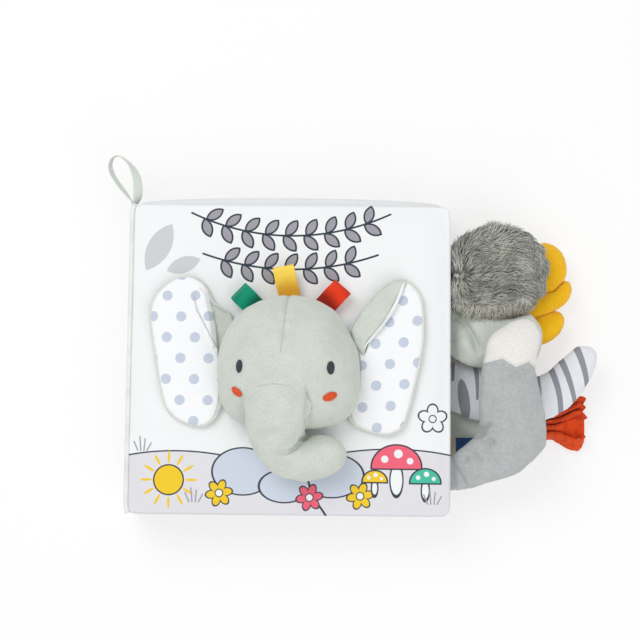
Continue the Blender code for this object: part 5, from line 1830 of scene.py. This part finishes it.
@dataclass
class Tails:
    """The five tails and the label along the fore-edge."""

    tip_lift: float = 0.15
    tilts: dict[str, tuple[float, float, float]] = field(default_factory=lambda: {
        "golden_lobe_top": (146.0, 0.36, 46.0), "golden_lobe_middle": (148.0, 0.24, 50.0),
        "golden_lobe_bottom": (146.0, 0.26, 40.0)})
    tip_start: float = 1.1

    def build(self) -> None:
        """Make the tails."""
        self.build_grey()
        self.build_sage()
        self.build_golden()
        self.build_striped()
        self.build_fringe()
        self.build_label()

    def build_grey(self) -> None:
        """Make the grey tail and its white tip."""
        grey = ZigzagPlush("grey_tail_plush", Dye.GREY_PLUSH, Dye.GREY_SHADE, 80.0, patchy=0.3)
        white = Plush("white_tip_plush", Dye.TIP, Dye.TIP_SHADE, 80.0, patchy=0.1)
        creases = (
            Crease((106.1, -39.9), (111.5, -34.8), 1.6, 2.6),
            Crease((108.3, -43.8), (114.5, -46.9), 1.6, 2.6),
            Crease((104.0, -42.6), (108.6, -40.2), 1.4, 2.0),
            Crease((99.4, -50.2), (106.8, -56.8), 1.7, 2.4),
            Crease((96.6, -52.6), (99.6, -56.2), 2.0, 1.8),
            Crease((92.4, -58.9), (99.4, -70.6), 1.3, 1.8),
            Crease((116.5, -9.6), (134.2, -6.4), 2.6, 1.4),
            Crease((120.0, -24.0), (134.0, -20.0), 4.0, 1.3),
            Crease((114.0, -33.0), (128.0, -40.0), 4.0, 1.3),
            Crease((90.5, -52.0), (93.0, -71.0), 1.6, 1.0),
        )
        tail = plush_form("grey_tail_plush", ("grey_tail", "grey_tail_tip"), 1.5, 4,
                          creased(creases, 0.8, 12.0))
        shape(tail, self.blunted)
        tip = placed("white_tip_plush", tail.data.copy())
        self.cut_tip(tip)
        finish_piece(tail, None, ("grey_tail",), "grey_plush", grey)
        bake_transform(tail)
        finish_piece(tip, "grey_tail", ("grey_tail_tip",), "white_plush", white)

    def blunted(self, place: Vector, normal: Vector) -> Vector:
        """Widen the white end, which is blunt, and fill out the bend and the root."""
        x, y, _z = place / MM
        share = soft_step(2.0, 17.0, y)
        bend = 2.3 * math.exp(-((x - 141.0) / 7.0) ** 2 - ((y + 46.0) / 9.0) ** 2)
        root = 2.4 * soft_step(99.0, 89.0, x) * soft_step(-58.0, -70.0, y)
        return place + Vector((((x - 124.5) * 0.26 * share + bend) * MM,
                               -(bend * 0.4 + root) * MM, 0.0))

    def cut_tip(self, tip: Piece) -> None:
        """Keep the white end of a copy of the grey tail's skin, close it and lift it a little."""
        seam = ZigzagPlush("seam", Dye.TIP, Dye.TIP)
        take(tip)
        bpy.ops.object.mode_set(mode="EDIT")
        bpy.ops.mesh.select_mode(type="FACE")
        bpy.ops.mesh.select_all(action="DESELECT")
        bpy.ops.object.mode_set(mode="OBJECT")
        for polygon in tip.data.polygons:
            x, y, _z = polygon.center / MM
            polygon.select = y < seam.height(x) + self.tip_start
        bpy.ops.object.mode_set(mode="EDIT")
        bpy.ops.mesh.delete(type="FACE")
        bpy.ops.mesh.select_all(action="SELECT")
        bpy.ops.transform.shrink_fatten(value=self.tip_lift * MM)
        bpy.ops.mesh.select_mode(type="EDGE")
        bpy.ops.mesh.select_all(action="DESELECT")
        bpy.ops.mesh.select_non_manifold()
        bpy.ops.mesh.edge_face_add()
        bpy.ops.mesh.select_all(action="SELECT")
        bpy.ops.mesh.normals_make_consistent(inside=False)
        bpy.ops.object.mode_set(mode="OBJECT")

    def build_sage(self) -> None:
        """Make the sage tail and its fur tuft."""
        sage = Plush("sage_tail_plush", Dye.SAGE, Dye.SAGE_SHADE, 0.0)
        tail = plush_form("sage_tail_plush", ("sage_tail",), 1.8, 3, creased((
            Crease((92.5, 27.5), (98.5, 21.0), 1.8, 2.4),
            Crease((96.5, 24.0), (103.0, 12.0), 1.8, 4.2),
            Crease((101.0, 16.0), (105.5, 4.5), 2.0, 4.2),
            Crease((104.0, 14.0), (108.5, 3.5), 3.0, 2.4),
            Crease((89.0, 8.0), (100.0, 2.0), 3.0, 1.0)), 0.7, 12.0))
        finish_piece(tail, "leaf_2", ("sage_tail",), "sage_plush", sage)
        fur = FauxFur("mixed_grey_fur")
        tuft = plush_form("fur_tuft_body", ("fur_tuft",), 2.0, 3, self.hollowed)
        coat = Fur().grow("fur_tuft_locks", tuft)
        finish_piece(tuft, "leaf_2", ("fur_tuft",), "grey_fur", fur)
        finish_piece(coat, "leaf_2", (), "grey_fur", FurLocks("mixed_grey_locks"))

    def hollowed(self, place: Vector, normal: Vector) -> Vector:
        """Draw the tuft's skin in below its fur, with a valley at its left."""
        x, y, _z = place / MM
        lump = noise.noise(place / (10.0 * MM)) * 1.5
        valley = math.exp(-((y - 50.0 + (x - 92.0) * -0.75) / 3.2) ** 2) * soft_step(108.0, 92.0, x)
        moved = place + normal * ((lump - 1.5 - 1.3 * valley) * MM)
        moved.y -= 8.5 * MM * soft_step(107.0, 91.0, x) * soft_step(50.0, 72.0, y)
        moved.y += 5.2 * MM * soft_step(106.0, 136.0, x) * soft_step(52.0, 30.0, y)
        inward = max(moved.x / MM - 90.7, 0.0) * soft_step(106.0, 93.0, x) * 0.86
        return moved - Vector((inward * MM, 0.0, 0.0))

    def build_golden(self) -> None:
        """Make the golden fan."""
        gold = Plush("golden_plush", Dye.GOLD, Dye.GOLD_SHADE, 0.0, patchy=0.12, sheen=0.3)
        for node, rise in (("golden_tail_root", 0.0), ("golden_lobe_bottom", 0.0),
                           ("golden_lobe_middle", 0.3), ("golden_lobe_top", 0.6)):
            part = plush_form(node + "_plush", (node,), 1.5, 3, creased((), 0.6, 7.0, rise))
            if node in self.tilts:
                shape(part, self.tilted, *self.tilts[node])
            finish_piece(part, "leaf_3", (node,), "golden_plush", gold)

    def tilted(self, middle: float, slope: float, level: float, place: Vector,
               normal: Vector) -> Vector:
        """Tilt a lobe's lower side up on the way out from its middle, less above the level."""
        share = soft_step(level + 12.0, level - 6.0, place.y / MM)
        far = max(place.x / MM - middle, -14.0)
        return place + Vector((0.0, far * slope * share * MM, 0.0))

    def build_striped(self) -> None:
        """Make the striped tail."""
        stripes = (
            ((93.4, 2.0), (93.2, -10.0), 0.0, (1.3, 0.7)),
            ((105.6, 1.0), (106.6, -21.0), 0.5, (1.6, 0.7)),
            ((114.0, 0.0), (112.6, -40.0), 0.0, (1.7, 1.4)),
            ((123.0, 0.0), (122.0, -40.0), 0.0, (1.6, 1.4)),
            ((131.6, 0.0), (131.0, -40.0), 0.0, (1.7, 1.4)),
            ((140.0, 0.0), (142.0, -40.0), 0.5, (1.6, 1.4)),
            ((147.4, 0.0), (154.6, -34.0), 1.6, (1.9, 1.4)),
            ((153.4, 4.0), (163.6, -27.0), 0.6, (2.0, 1.2)),
            ((160.8, 14.0), (170.4, -20.0), 1.2, (2.3, 1.2)),
        )
        tail = plush_form("striped_tail_cloth", ("striped_tail",), 1.6, 3, creased((
            Crease((88.0, -33.0), (104.0, -32.0), 2.4, 1.0),
            Crease((146.0, -28.0), (160.0, -20.0), 2.4, 0.5)), 0.6, 10.0))
        shape(tail, self.rooted)
        finish_piece(tail, "leaf_4", ("striped_tail",), "striped_cloth",
                     ZebraCloth("striped_cotton", stripes))

    def rooted(self, place: Vector, normal: Vector) -> Vector:
        """Draw the striped tail's top edge up where it is sewn in."""
        x, y, _z = place / MM
        share = soft_step(108.0, 92.0, x) * (2.5 + 0.9 * soft_step(-16.0, -4.0, y))
        return place + Vector((0.0, share * MM, 0.0))

    def build_fringe(self) -> None:
        """Make the sage tail with the felt fringe."""
        sage = Plush("sage_fringe_plush", Dye.SAGE, Dye.SAGE_SHADE, 0.0)
        tail = plush_form("fringe_tail_plush", ("fringe_tail",), 1.5, 3, creased((), 0.4, 10.0))
        finish_piece(tail, "back_cover", ("fringe_tail",), "sage_plush", sage)
        felt = Felt("orange_red_felt", Dye.FELT, Dye.FELT_SHADE)
        for number in range(1, 6):
            node = f"felt_strip_{number}"
            strip = rounded(node + "_felt", (node,), 0.5, 1)
            shape(strip, creased((), 0.5, 4.0))
            if number == 4:
                shape(strip, self.broadened)
            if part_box(node)[1].x > 0.173:
                shape(strip, self.shortened)
            finish_piece(strip, "back_cover", (node,), "orange_felt", felt)

    def broadened(self, place: Vector, normal: Vector) -> Vector:
        """Let the broad strip spread out from its root."""
        low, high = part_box("felt_strip_4")
        middle = (low.y + high.y) / 2
        share = soft_step(147.0, 158.0, place.x / MM) * 0.45
        return place + Vector((0.0, (place.y - middle) * share, 0.0))

    def shortened(self, place: Vector, normal: Vector) -> Vector:
        """Curl a long strip's end back a little."""
        far = max(place.x / MM - 156.0, 0.0)
        return place + Vector((-0.24 * far * MM, -0.10 * far * MM, 0.06 * far * MM))

    def build_label(self) -> None:
        """Make the bare woven label."""
        navy = WovenRibbon("navy_label", Dye.NAVY, Dye.NAVY_SHADE, 0.5, 0.5, Dye.BEIGE, 95.2)
        label = copy_node("label_woven", "label")
        refine(label, 2)
        finish_piece(label, "leaf_4", ("label",), "navy_ribbon", navy)


@dataclass
class Studio:
    """A pale floor, soft lamps and the camera at the photograph's angle."""

    elevation: float = 84.0
    distance: float = 0.850
    aim: tuple[float, float, float] = (0.01685, 0.02195, 0.0385)
    roll: float = -0.0767
    azimuth: float = 0.0866
    focal: float = 1515.0
    sensor: float = 36.0
    pixels: float = 640.0
    floor_drop: float = 0.0003
    floor_glow: float = 0.62
    sky_light: float = 0.62
    sky_seen: float = 0.85

    def build(self) -> None:
        """Make the whole studio."""
        scene = bpy.context.scene
        scene.view_settings.view_transform = "Standard"
        self.build_floor()
        self.build_light()
        self.build_camera()

    def build_floor(self) -> None:
        """Make the floor, which keeps the book's shadow, with painted shade in a rectangle under
        the tails where its glow is left out.
        """
        deselect()
        bpy.ops.mesh.primitive_plane_add(size=6.0, location=(0.0, 0.0, 0.0))
        floor = bpy.context.active_object
        floor.name = "studio_floor"
        for vertex in floor.data.vertices:
            vertex.co.z = -self.floor_drop
        recipe = Recipe("studio_floor")
        recipe.dress(Dye.FLOOR, 1.0)
        recipe.constant(Specular_IOR_Level=0.0)
        # Painted shade: no glow in this rectangle under the tails, so the floor there stays dark as
        # in shadow.
        below = (recipe.x.rise(84.0, 90.0) * recipe.x.fall(118.0, 128.0)
                 * recipe.y.rise(-62.0, -52.0) * recipe.y.fall(60.0, 66.0))
        rays = recipe.node("ShaderNodeLightPath", {}, {}).outputs
        seen, mirrored, through = (Value(recipe, rays[title]) for title in (
            "Is Camera Ray", "Is Glossy Ray", "Is Transmission Ray"))
        glow = recipe.node("ShaderNodeEmission", {}, {"Color": (1.0, 1.0, 1.0), "Strength": 1.0})
        blend = recipe.node("ShaderNodeMixShader", {}, {
            0: (seen + mirrored + through).least(1.0) * (1.0 - below) * self.floor_glow,
            1: recipe.shader.outputs[0],
            2: glow.outputs[0]})
        output = next(item for item in recipe.tree.nodes if item.type == "OUTPUT_MATERIAL")
        recipe.tree.links.new(blend.outputs[0], output.inputs["Surface"])
        floor.data.materials.append(recipe.material)

    def build_light(self) -> None:
        """Make the sky and the lamps."""
        world = bpy.data.worlds.new("studio_sky")
        world.use_nodes = True
        nodes, links = world.node_tree.nodes, world.node_tree.links
        lit, seen = nodes["Background"], nodes.new("ShaderNodeBackground")
        for light, strength in ((lit, self.sky_light), (seen, self.sky_seen)):
            light.inputs["Color"].default_value = (1, 1, 1, 1)
            light.inputs["Strength"].default_value = strength
        rays, chosen = nodes.new("ShaderNodeLightPath"), nodes.new("ShaderNodeMixShader")
        links.new(rays.outputs["Is Camera Ray"], chosen.inputs[0])
        links.new(lit.outputs[0], chosen.inputs[1])
        links.new(seen.outputs[0], chosen.inputs[2])
        links.new(chosen.outputs[0], nodes["World Output"].inputs["Surface"])
        bpy.context.scene.world = world
        for name, place, size, power in (("key", (-0.45, 0.5, 1.1), 0.7, 5.2),
                                         ("fill", (0.5, -0.8, 1.0), 1.0, 4.8)):
            data = bpy.data.lights.new(name, "AREA")
            data.size = size
            data.energy = power
            lamp = placed(name, data)
            lamp.location = place
            aim = Vector((0.02, 0.0, 0.03)) - Vector(place)
            lamp.rotation_euler = aim.to_track_quat("-Z", "Y").to_euler()

    def build_camera(self) -> None:
        """Make the camera."""
        tilt = math.radians(self.elevation)
        back = Vector((math.cos(tilt) * math.sin(self.azimuth),
                       -math.cos(tilt) * math.cos(self.azimuth), math.sin(tilt)))
        right = Vector((math.cos(self.azimuth), math.sin(self.azimuth), 0.0))
        up = back.cross(right)
        turned = right * math.cos(self.roll) + up * math.sin(self.roll)
        upright = up * math.cos(self.roll) - right * math.sin(self.roll)
        data = bpy.data.cameras.new("camera")
        data.sensor_width = self.sensor
        data.lens = self.focal / self.pixels * self.sensor
        data.clip_start = 0.01
        camera = placed("camera", data)
        turn = Matrix((turned, upright, back)).transposed().to_4x4()
        camera.matrix_world = Matrix.Translation(Vector(self.aim) + back * self.distance) @ turn
        bpy.context.scene.camera = camera


def main() -> None:
    """Dress the book piece by piece."""
    logging.basicConfig(level=logging.INFO, format="%(message)s")
    for part in (Studio(), Pages(), Binding(), HeadPlush(), Ears(), Tails()):
        part.build()


if __name__ == "__main__":
    main()
